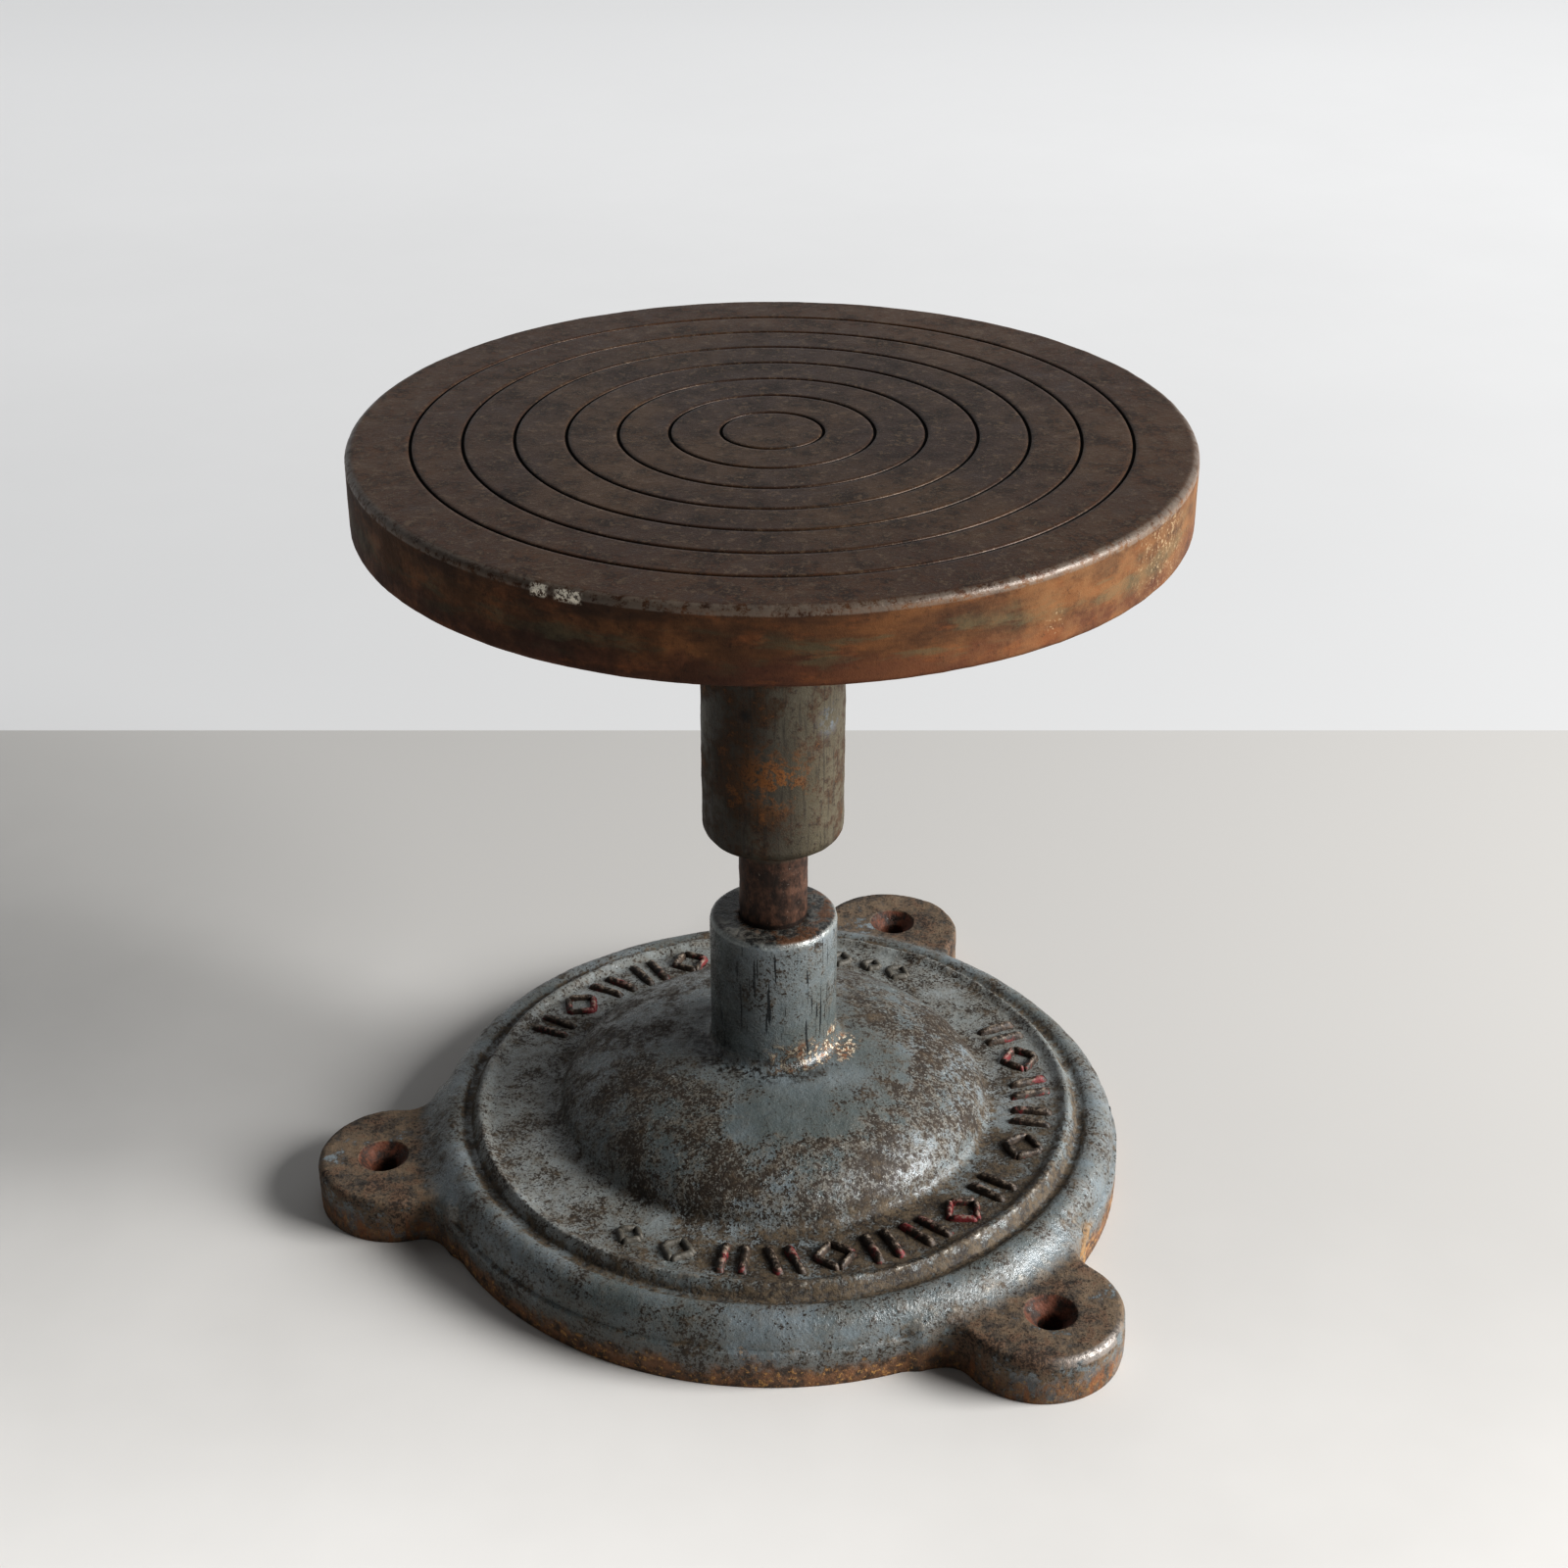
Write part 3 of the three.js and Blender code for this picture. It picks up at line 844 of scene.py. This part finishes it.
    def bump(self, layers):
        """Layers of (height socket, height in millimetres), laid on each other."""
        normal = None
        for height, size in layers:
            made = self.tree.nodes.new("ShaderNodeBump")
            made.inputs["Distance"].default_value = size * MM
            made.inputs["Strength"].default_value = 1
            self.feed(made.inputs["Height"], height)
            if normal is not None:
                self.feed(made.inputs["Normal"], normal)
            normal = made.outputs["Normal"]
        self.feed(self.shader.inputs["Normal"], normal)

    def finish(self, roughness, metallic=0.0, layers=()):
        self.feed(self.shader.inputs["Base Color"], self.base)
        self.feed(self.shader.inputs["Roughness"], roughness)
        self.feed(self.shader.inputs["Metallic"], metallic)
        if layers:
            self.bump(layers)
        return self.material


def base_paint():
    f = Finish("old_blue_grey_paint")
    cavity = f.stored("cavity")
    edge = f.stored("edge")
    broad = f.grain(38, 4, 0.6, 1)
    patchy = f.grain(13, 6, 0.65, 2)
    small = f.grain(3.4, 5, 0.7, 5)
    fine = f.grain(1.5, 4, 0.7, 3)
    finest = f.grain(0.75, 3, 0.7, 4)
    patchy_swing = f.swing(patchy)
    small_swing = f.swing(small)
    fine_swing = f.swing(fine)

    # Where it is clean and where it is dirty.
    on_stem = f.both(f.rise(f.z, STEM_FOOT_Z + 1, STEM_FOOT_Z + 4), f.rise(f.z, STEM_TOP, STEM_TOP - 2))
    on_stem = f.both(on_stem, f.rise(f.r, STEM_R + 2.2, STEM_R + 0.8))
    ragged_r = f.plus(f.r, f.both(patchy_swing, 34))
    clean = f.both(f.rise(ragged_r, 45, 39), f.toward(-52, 50, 14), f.no(on_stem))
    dome_flank = f.both(f.within(f.r, 28, 66, 7), f.no(clean))
    ring = f.within(f.r, 60, 88, 3)
    dome_right = f.both(f.toward(0, 40, 18), f.within(f.r, 30, 62, 5))
    ring_front = f.both(ring, f.toward(-60, 52, 28))
    dirt = f.either(f.both(dome_flank, 0.9), ring_front, f.both(ring, 0.5), dome_right, 0.40)
    dirt = f.both(dirt, f.no(f.both(clean, 0.85)), f.no(f.both(on_stem, 0.6)))

    # Enamel under a thin dirty film.
    f.lay(f.colour("545a59", "70777a", f.rise(broad, 0.35, 0.65)))
    # The flat ring laid paler and greyer, except at its front; its paleness is painted light on the
    # flat.
    f.lay("8e8f8b", ring, f.no(f.both(ring_front, 0.7)), 0.5)
    film = f.both(f.plus(dirt, 0.15), f.rise(f.plus(small, patchy_swing), 0.30, 0.62))
    f.lay("66625a", film, 0.9)

    # Stains, dark specks and pale flecks.
    stain_level = f.plus(patchy, small_swing, f.both(dirt, 0.13), f.both(dome_right, 0.12))
    stain = f.both(f.rise(stain_level, 0.60, 0.82), f.rise(fine, 0.34, 0.56))
    f.lay(f.colour("332920", "54432f", small), stain, f.rise(finest, 0.36, 0.56), 0.8)
    spread = f.plus(f.both(dirt, 0.13), f.both(patchy_swing, 0.5))
    specks = f.rise(f.plus(fine, spread), 0.63, 0.68)
    dots = f.rise(f.plus(finest, spread), 0.62, 0.67)
    f.lay(f.colour("1f1c19", "3d3023", small), f.either(specks, dots), 0.95)
    f.lay("a5a49d", f.rise(f.grain(0.8, 2, 0.6, 9), 0.64, 0.70), f.rise(dirt, 0.3, 0.7), 0.5)

    # Grime in the hollows, bare metal on the edges.
    grime_level = f.plus(cavity, f.both(patchy_swing, 1.2), f.both(small_swing, 1.3))
    grime_level = f.plus(grime_level, f.both(ring_front, 0.35))
    grime = f.both(f.rise(grime_level, 0.10, 0.55), f.no(f.both(clean, 0.6)))
    grime_colour = f.colour("2b241e", "5f5343", f.rise(f.plus(fine, small_swing), 0.34, 0.66))
    f.lay(grime_colour, grime, f.rise(finest, 0.25, 0.45), 0.9)
    wear_level = f.plus(edge, f.both(small_swing, 1.6))
    worn_edge = f.both(f.rise(wear_level, 0.24, 0.5), f.within(f.z, 12.5, STEM_TOP + 1, 0.5))
    f.lay("92908a", worn_edge, f.rise(fine, 0.36, 0.5), 0.6)

    # Rust on the lugs, all over their tops and in streaks down their sides.
    on_lug = f.rise(f.r, BASE_R - 1, BASE_R + 5)
    lug_level = f.plus(patchy, f.both(small_swing, 0.8))
    lug_colour = f.colour("3c332b", "6d5c49", f.rise(small, 0.34, 0.62))
    lug_colour = f.colour(lug_colour, "604736", f.rise(lug_level, 0.50, 0.62), 0.65)
    lug_colour = f.colour(lug_colour, "1b1714", f.either(specks, dots), 0.7)
    on_top = f.rise(f.z, LUG_HEIGHT - 1.5, LUG_HEIGHT - 0.6)
    covered = f.rise(lug_level, 0.38, 0.50)
    covered = f.either(covered, f.both(on_top, f.rise(lug_level, 0.26, 0.36)))
    f.lay(lug_colour, on_lug, covered, 0.92)
    streaks = f.grain(2.2, 4, 0.65, 6, (1, 1, 5))
    side = f.both(on_lug, f.rise(f.z, LUG_HEIGHT - 1, LUG_HEIGHT - 3))
    f.lay("7a4f30", side, f.rise(streaks, 0.52, 0.62), f.rise(f.z, 11, 3), 0.8)

    # A rusty band along the foot of the rim, golden beside the right lug.
    ragged_z = f.plus(f.z, f.both(f.plus(patchy_swing, f.both(small_swing, 0.6)), 20))
    low_band = f.both(f.rise(ragged_z, 8.5, 4.5), f.rise(f.r, BASE_R - 4, BASE_R - 2))
    band_colour = f.colour("3a2a1d", "7b573a", f.rise(small, 0.36, 0.62))
    band_colour = f.colour(band_colour, "b08a58", f.rise(fine, 0.54, 0.64), 0.8)
    f.lay(band_colour, low_band, f.no(f.both(on_lug, 0.5)), 0.9)
    f.lay("a37f52", f.near_point(85, -52, 5, 7, 4), f.rise(f.plus(small, patchy_swing), 0.44, 0.60), 0.8)

    # The right lug's edge, rubbed bare and painted lighter as a highlight, and rust in the screw holes.
    middle = f.near_axis(LUG_CENTRE_R, LUG_ANGLES["right"], LUG_TIP_R - 1.6, 0.5)
    # Partly wear, partly a painted highlight: a pale strip along the right lug's front edge.
    polish_and_highlight = f.both(f.near_point(83, -100, LUG_HEIGHT - 1, 10, 6), f.no(middle))
    polish_and_highlight = f.both(polish_and_highlight, f.rise(f.z, LUG_HEIGHT - 3, LUG_HEIGHT - 2), f.rise(small, 0.34, 0.5))
    f.lay("938d88", polish_and_highlight, 0.75)
    angles = LUG_ANGLES.values()
    holes = [f.near_axis(SCREW_CENTRE_R, angle, COUNTERSINK_R - 0.2, 0.25) for angle in angles]
    hole_colour = f.colour("291f19", "663f2e", f.rise(small, 0.36, 0.62))
    f.lay(hole_colour, f.either(*holes), 0.95)

    # Round the stem's foot: chips down to bare metal in front, and painted shade at the left and behind.
    chip_level = f.plus(fine, f.both(small_swing, 0.9))
    foot_line = f.both(f.toward(-48, 44, 10), f.within(f.r, STEM_R - 1, STEM_R + 2.7, 0.7))
    foot_right = f.both(f.toward(-18, 14, 8), f.within(f.r, STEM_R - 1, STEM_R + 6.4, 1.5))
    foot = f.both(f.either(foot_line, foot_right), f.within(f.z, STEM_FOOT_Z - 5, STEM_FOOT_Z + 6, 2))
    f.lay("5c4534", foot, f.rise(chip_level, 0.46, 0.52), 0.85)
    bare_colour = f.colour("c9c0ac", "7f5b43", f.rise(small, 0.54, 0.62))
    f.lay(bare_colour, foot, f.rise(chip_level, 0.55, 0.585))
    # Painted shade: the dome laid dark round the stem's foot, at the left and behind.
    foot_painted_shade = f.both(f.toward(-150, 95, 20), f.within(f.r, STEM_R - 1, STEM_R + 6.4, 2))
    foot_painted_shade = f.both(foot_painted_shade, f.within(f.z, STEM_FOOT_Z - 7, STEM_FOOT_Z + 6, 2))
    f.lay("1f1b18", foot_painted_shade, f.rise(f.plus(fine, patchy), 0.92, 1.08), 0.85)

    # The stem: upright scratches, painted shade down its left side, and rust and wear on top.
    scratch = f.grain(0.9, 2, 0.5, 8, (1, 1, 20))
    scratches = f.both(on_stem, f.rise(f.plus(scratch, f.both(patchy_swing, 0.3)), 0.63, 0.66))
    f.lay("15181a", scratches, 0.9)
    # Painted shade: the stem laid darker on its left side.
    f.lay("26292a", on_stem, f.toward(-178, 62, 30), f.rise(patchy, 0.30, 0.55), 0.6)
    flat_top = f.both(f.rise(f.z, STEM_TOP - 1.6, STEM_TOP - 0.5), f.rise(f.r, STEM_R + 1, STEM_R))
    top_colour = f.colour("211e1b", "5d5c57", f.rise(f.plus(fine, small_swing), 0.36, 0.66))
    f.lay(top_colour, flat_top, f.rise(f.plus(small, 0.2), 0.44, 0.56), 0.92)
    beside = f.either(f.toward(-20, 80, 40), f.rise(f.r, SPINDLE_R + 3, SPINDLE_R + 1))
    top_rust = f.both(flat_top, beside, f.rise(f.plus(patchy, small_swing), 0.44, 0.58))
    f.lay(f.colour("33241a", "704c30", fine), top_rust, 0.85)
    lip = f.both(f.within(f.z, STEM_TOP - 1.7, STEM_TOP - 0.4, 0.3), f.rise(small, 0.36, 0.5))
    lip = f.both(lip, f.rise(f.r, STEM_R - 1.6, STEM_R - 0.9))
    f.lay("8d918f", lip, 0.7)

    # The hollow underneath, unpainted.
    facing = f.add("ShaderNodeNewGeometry").outputs["Normal"]
    down = f.rise(f.add("ShaderNodeSeparateXYZ", Vector=facing).outputs["Z"], -0.2, -0.7)
    inside = f.both(f.rise(f.r, BASE_R - WALL + 1, BASE_R - WALL), down)
    inside = f.both(inside, f.rise(f.z, ROOF_Z + 30, ROOF_Z + 2))
    f.lay(f.colour("33261c", "5f442d", patchy), inside)

    rough = f.number(0.26, 0.58, f.rise(film, 0.2, 0.8))
    rough = f.number(rough, 0.6, dome_right, 0.6)
    rough = f.number(rough, 0.72, f.either(grime, stain, low_band, f.both(on_lug, covered)))
    bare = f.either(worn_edge, lip, polish_and_highlight)
    rough = f.number(rough, 0.26, bare, 0.8)
    rough = f.plus(rough, f.both(fine_swing, 0.5))
    relief = [(patchy, 0.3), (small, 0.35), (fine, 0.22), (finest, 0.08)]
    return f.finish(rough, f.both(bare, 0.3), relief)


def head_iron():
    f = Finish("brown_iron_head")
    broad = f.grain(48, 4, 0.6, 21)
    patchy = f.grain(9, 7, 0.75, 22)
    fine = f.grain(2.4, 5, 0.8, 23)
    finest = f.grain(0.9, 3, 0.8, 24)
    fine_swing = f.swing(fine)
    on_top = f.rise(f.z, HEAD_TOP - 1.6, HEAD_TOP - 0.6)

    # Mottled brown on top.
    top = f.colour("33231a", "43301f", f.rise(broad, 0.38, 0.62))
    top = f.colour(top, "4a2f1b", f.rise(f.r, 55, 98), f.rise(patchy, 0.35, 0.65), 0.8)
    top = f.colour(top, "1b120c", f.rise(f.plus(patchy, fine_swing), 0.48, 0.60), 0.75)
    top = f.colour(top, "5b4938", f.rise(fine, 0.53, 0.62), 0.7)
    top = f.colour(top, "77695a", f.rise(finest, 0.60, 0.68), 0.5)

    # Rust, olive streaks and cream spots round the rim, with painted light making it paler at the right
    # and painted shade making it darker at the left.
    ragged_z = f.plus(f.z, f.both(f.swing(f.grain(9, 4, 0.6, 27)), 12))
    side = f.colour("3a2517", "6d4a2c", f.rise(f.grain(13, 5, 0.6, 28, (2.2, 2.2, 0.7)), 0.32, 0.66))
    side = f.colour(side, "512f21", f.rise(ragged_z, HEAD_TOP - 11, HEAD_TOP - 15), 0.6)
    olive = f.rise(f.grain(11, 6, 0.65, 25, (2.4, 2.4, 0.5)), 0.50, 0.60)
    side = f.colour(side, "514c39", olive, f.within(ragged_z, HEAD_TOP - 14, HEAD_TOP - 7, 3), 0.7)
    side = f.colour(side, "764a2a", f.rise(f.grain(7, 5, 0.7, 26, (2.4, 2.4, 0.8)), 0.52, 0.68), 0.6)
    side = f.colour(side, "2b1a10", f.rise(fine, 0.56, 0.66), 0.5)
    # Painted light: the rim laid paler towards the right.
    side = f.colour(side, "7c5e40", f.toward(-28, 32, 22), f.rise(patchy, 0.38, 0.62), 0.5)
    # Painted shade: the rim laid darker at the left.
    side = f.colour(side, "23170f", f.toward(-135, 40, 25), f.rise(patchy, 0.32, 0.6), 0.6)
    cream = f.near_point(88, -52, HEAD_TOP - 8, 12, 7)
    cream = f.either(cream, f.near_point(62, -83, HEAD_TOP - 13, 3, 1))
    cream = f.both(cream, f.rise(f.plus(finest, f.both(fine_swing, 0.9)), 0.57, 0.65))
    side = f.colour(side, "978469", cream, 0.75)
    f.lay(f.colour(side, top, on_top))

    # A worn edge with two pale nicks, and dark grooves.
    lip = f.both(f.within(f.z, HEAD_TOP - 2.2, HEAD_TOP - 0.05, 0.3), f.rise(fine, 0.38, 0.52))
    lip = f.both(lip, f.rise(f.r, HEAD_R - 2.2, HEAD_R - 1.2))
    f.lay("6f675f", lip, 0.6)
    nick = f.either(f.toward(-118.5, 1.0, 0.4), f.toward(-114.5, 1.6, 0.5))
    nick = f.both(nick, f.rise(f.r, HEAD_R - 0.9, HEAD_R - 0.5))
    nick = f.both(nick, f.rise(f.z, HEAD_TOP - 3.6, HEAD_TOP - 2.6))
    f.lay("cfc8ba", nick, f.rise(finest, 0.44, 0.52))
    groove = f.both(f.rise(f.z, HEAD_TOP - 0.2, HEAD_TOP - 0.4), f.rise(f.r, HEAD_R - 6, HEAD_R - 8))
    groove = f.both(groove, f.rise(f.z, HEAD_TOP - 2, HEAD_TOP - 1))
    f.lay("0e0b09", groove)

    rough = f.number(0.62, 0.42, on_top)
    rough = f.plus(rough, f.both(f.swing(patchy), 0.4))
    rough = f.number(rough, 0.3, lip, 0.8)
    rough = f.number(rough, 0.9, groove)
    metal = f.number(0.05, 0.15, on_top)
    f.shader.inputs["Specular IOR Level"].default_value = 0.3
    return f.finish(rough, metal, [(patchy, 0.12), (fine, 0.12), (finest, 0.05)])


def hub_paint():
    f = Finish("rusted_hub_paint")
    patchy = f.grain(12, 6, 0.65, 31)
    fine = f.grain(2.2, 5, 0.75, 32)
    finest = f.grain(0.7, 3, 0.8, 33)
    patchy_swing = f.swing(patchy)
    fine_swing = f.swing(fine)
    # Grey-green paint with brown coming through and scuffed, with painted light making it paler and
    # greener at the right and painted shade making it dark just under the head.
    f.lay(f.colour("37322a", "4c473c", f.rise(f.grain(22, 3, 0.5, 34, (1, 1, 2)), 0.35, 0.65)))
    f.lay("432e1b", f.rise(f.plus(patchy, f.both(fine_swing, 0.9)), 0.40, 0.64), 0.85)
    # Painted light: the hub laid paler and greener at the right.
    f.lay("5b5341", f.toward(-25, 35, 30), f.rise(f.plus(patchy, fine_swing), 0.60, 0.44), 0.5)
    f.lay("29231c", f.rise(f.grain(0.8, 2, 0.5, 35, (1, 1, 14)), 0.55, 0.64), 0.5)
    # Painted shade: the hub laid dark just under the head.
    f.lay("2a2119", f.rise(f.plus(f.z, f.both(patchy_swing, 20)), 164, 174), 0.6)
    # Orange rust, dark specks, spots of blue paint and a pit.
    orange = f.both(f.near_point(1, -19, 134, 8, 6), f.rise(f.plus(fine, patchy_swing), 0.40, 0.56))
    orange = f.either(orange, f.both(f.rise(f.plus(patchy, f.both(fine_swing, 0.6)), 0.62, 0.72), 0.7))
    f.lay("7b5025", orange, 0.8)
    f.lay("191512", f.rise(f.plus(finest, fine_swing), 0.58, 0.68), 0.6)
    blue = f.either(f.near_point(15, -12, 148, 3.5, 3), f.near_point(12, -15, 166, 4, 4))
    f.lay("78838a", blue, f.rise(f.plus(fine, patchy_swing), 0.40, 0.6), 0.6)
    f.lay("14100d", f.near_point(-7, -18, 152, 1.5, 1.2), 0.9)
    rough = f.number(0.45, 0.75, f.rise(patchy, 0.4, 0.6))
    return f.finish(rough, 0.05, [(patchy, 0.18), (fine, 0.22), (finest, 0.1)])


def spindle_steel():
    f = Finish("rusted_spindle")
    fine = f.grain(2.2, 5, 0.7, 41, (1, 1, 1.6))
    finest = f.grain(0.7, 3, 0.7, 42)
    patchy = f.grain(9, 4, 0.6, 43)
    f.lay(f.colour("2b1e17", "584033", f.rise(fine, 0.35, 0.65)))
    f.lay("221a16", f.rise(patchy, 0.5, 0.65), 0.7)
    # Painted reflection: the spindle laid paler just under the hub.
    f.lay("4d4a40", f.rise(f.z, HUB_BOTTOM - 5.5, HUB_BOTTOM - 4), 0.55)
    # Painted shade: a dark ring at the spindle's foot, standing in for a shaded gap.
    f.lay("17120f", f.rise(f.z, STEM_TOP + 1.4, STEM_TOP + 0.7), 0.8)
    # Painted glints: pale specks over the spindle.
    f.lay("9a8f84", f.rise(finest, 0.66, 0.72), 0.6)
    return f.finish(f.number(0.42, 0.7, fine), 0.25, [(fine, 0.15), (finest, 0.05)])


def border_paint():
    f = Finish("grimy_raised_border")
    fine = f.grain(1.6, 5, 0.7, 51)
    patchy = f.grain(11, 4, 0.6, 52)
    f.lay(f.colour("241d17", "4a3d32", f.rise(fine, 0.35, 0.65)))
    plain = f.either(f.toward(-116, 12, 3), f.toward(66, 16, 3))
    f.lay("702227", f.rise(f.plus(f.both(fine, 0.6), patchy), 0.84, 0.92), f.no(plain), 0.8)
    crest = f.rise(f.z, RING_Z + 0.9, RING_Z + 1.4)
    f.lay("857b6f", crest, f.rise(fine, 0.48, 0.6), 0.75)
    f.lay("57554e", plain, 0.7)
    return f.finish(f.number(0.38, 0.7, fine), 0.1, [(fine, 0.25)])


def plain_metal(name, dark, light, roughness, metallic, size, seed):
    """A simple finish for the pieces inside, mottled and a little uneven in its gloss."""
    f = Finish(name)
    mottle = f.grain(size, 5, 0.65, seed)
    f.lay(f.colour(dark, light, f.rise(mottle, 0.3, 0.7)))
    rough = f.number(roughness * 0.8, min(roughness * 1.25, 1), mottle)
    return f.finish(rough, metallic, [(mottle, 0.04)])


def felt_wool():
    f = Finish("oiled_felt")
    fibre = f.grain(0.5, 6, 0.75, 61)
    f.lay(f.colour("2f2a22", "5c5446", fibre))
    return f.finish(f.number(0.85, 1.0, fibre), 0.0, [(fibre, 0.3)])


# ---- assembly

def dress(piece, material):
    piece.data.materials.clear()
    piece.data.materials.append(material)


def stand_in(piece, node, body, material):
    """A finer piece in the place of a CAD node."""
    dress(piece, material)
    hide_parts(node)
    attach(piece, body)


stand_in(cast_base(), "base_casting", "base", base_paint())
stand_in(spindle(), "spindle", "base", spindle_steel())
stand_in(wheel_head(), "wheel_head", "turntable", head_iron())
stand_in(hub_sleeve(), "hub_sleeve", "turntable", hub_paint())

border = raised_border()
dress(border, border_paint())
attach(border, "base")

hard = plain_metal("ground_hard_steel", "8a8c90", "a9abae", 0.22, 1.0, 3, 71)
bronze = plain_metal("oiled_bronze", "7a5524", "a87d3d", 0.35, 1.0, 4, 72)
black = plain_metal("blackened_steel", "1d1b1a", "3a3431", 0.5, 0.7, 3, 73)
for node, material in {
    "spindle_taper_pin": black,
    "hub_lock_screw_1": black,
    "hub_lock_screw_2": black,
    "ball_seat": hard,
    "thrust_ball": hard,
    "thrust_pad": hard,
    "lower_bush": bronze,
    "upper_bush": bronze,
    "felt_dust_ring": felt_wool(),
}.items():
    dress(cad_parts[node], material)


# ---- stage, light, camera

FLOOR_BACK = 266
FLOOR_REACH = 2600
# The light and the camera stand at places in metres.
WINDOW_AT = (2.0, -0.47, 1.12)
WINDOW_TOWARDS = (0, 0, 0.08)
WINDOW_SIZE = (1.3, 1.15)
WINDOW_WATTS = 95
CAMERA_AT = (0.0029, -0.5738, 0.4375)
CAMERA_PITCH = 28.77
CAMERA_LENS = 56.28
CAMERA_SENSOR = 36
# Brightness of the room by direction along an axis: from, to, and the brightness at each.
ROOM_BANDS = {"Z": (0.06, 0.25, 0.5, 0.12), "Y": (0.05, 0.4, 0.12, 0.5)}


def stage_painted_light(name, first, second, direction, start, end, glow=0.0):
    """A plain matt finish that turns from one colour to another along a direction, in metres: painted
    light and shade across the stage. The glow is painted light too.
    """
    f = Finish(name)
    cloud = f.both(f.swing(f.grain(240, 5, 0.6, 81)), 0.25)
    along = f.plus(f.both(f.x, direction[0]), f.both(f.y, direction[1]))
    f.lay(f.colour(first, second, f.rise(f.plus(along, cloud), start, end)))
    f.shader.inputs["Emission Color"].default_value = (1, 1, 1, 1)
    f.shader.inputs["Emission Strength"].default_value = glow
    return f.finish(0.9)


def floor_strip(name, front, back, material):
    """A flat strip of floor right across the scene, between two distances along Y."""
    corners = [(-1, front), (1, front), (1, back), (-1, back)]
    panel = link(name, [(side * FLOOR_REACH, y, 0) for side, y in corners], [(0, 1, 2, 3)])
    dress(panel, material)


# Painted light and shade: the floor laid lighter towards the front and the left.
floor_painted_light = stage_painted_light("pale_floor", "b2b0ad", "e0dedb", (-0.45, -1), -0.12, 0.42)
floor_strip("floor", -FLOOR_REACH, FLOOR_BACK, floor_painted_light)
# Painted light: the backdrop glows, and is laid lighter further back and to the left.
backdrop_painted_glow = stage_painted_light("pale_backdrop", "8f8f8f", "bababa", (-0.2, 1), 0.25, 1.6, glow=0.26)
floor_strip("backdrop", FLOOR_BACK, FLOOR_REACH, backdrop_painted_glow)


def window():
    """One soft light, like a window at the right."""
    data = bpy.data.lights.new("window", "AREA")
    data.shape = "RECTANGLE"
    data.size, data.size_y = WINDOW_SIZE
    data.energy = WINDOW_WATTS
    lamp = bpy.data.objects.new("window", data)
    lamp.location = WINDOW_AT
    aim = Vector(WINDOW_TOWARDS) - Vector(WINDOW_AT)
    lamp.rotation_euler = aim.to_track_quat("-Z", "Y").to_euler()
    bpy.context.scene.collection.objects.link(lamp)


def soft_room():
    """Dim light from the front, pale like a wall from behind, and pale low down all round, so that the
    far end of the floor fades out."""
    world = bpy.data.worlds.new("soft_room")
    world.use_nodes = True
    tree = world.node_tree
    direction = tree.nodes.new("ShaderNodeTexCoord").outputs["Generated"]
    parts = tree.nodes.new("ShaderNodeSeparateXYZ")
    tree.links.new(direction, parts.inputs[0])
    brightest = tree.nodes.new("ShaderNodeMath")
    brightest.operation = "MAXIMUM"
    for slot, (axis, values) in enumerate(ROOM_BANDS.items()):
        band = tree.nodes.new("ShaderNodeMapRange")
        band.interpolation_type = "SMOOTHSTEP"
        tree.links.new(parts.outputs[axis], band.inputs["Value"])
        for socket, value in zip(("From Min", "From Max", "To Min", "To Max"), values):
            band.inputs[socket].default_value = value
        tree.links.new(band.outputs["Result"], brightest.inputs[slot])
    background = tree.nodes["Background"]
    background.inputs["Color"].default_value = (0.96, 0.98, 1.0, 1)
    tree.links.new(brightest.outputs[0], background.inputs["Strength"])
    return world


window()
bpy.context.scene.world = soft_room()
bpy.context.scene.view_settings.view_transform = "Standard"
bpy.context.scene.view_settings.look = "High Contrast"

camera_data = bpy.data.cameras.new("camera")
camera_data.lens = CAMERA_LENS
camera_data.sensor_width = CAMERA_SENSOR
camera = bpy.data.objects.new("camera", camera_data)
camera.location = CAMERA_AT
camera.rotation_euler = (math.radians(90 - CAMERA_PITCH), 0, 0)
bpy.context.scene.collection.objects.link(camera)
bpy.context.scene.camera = camera
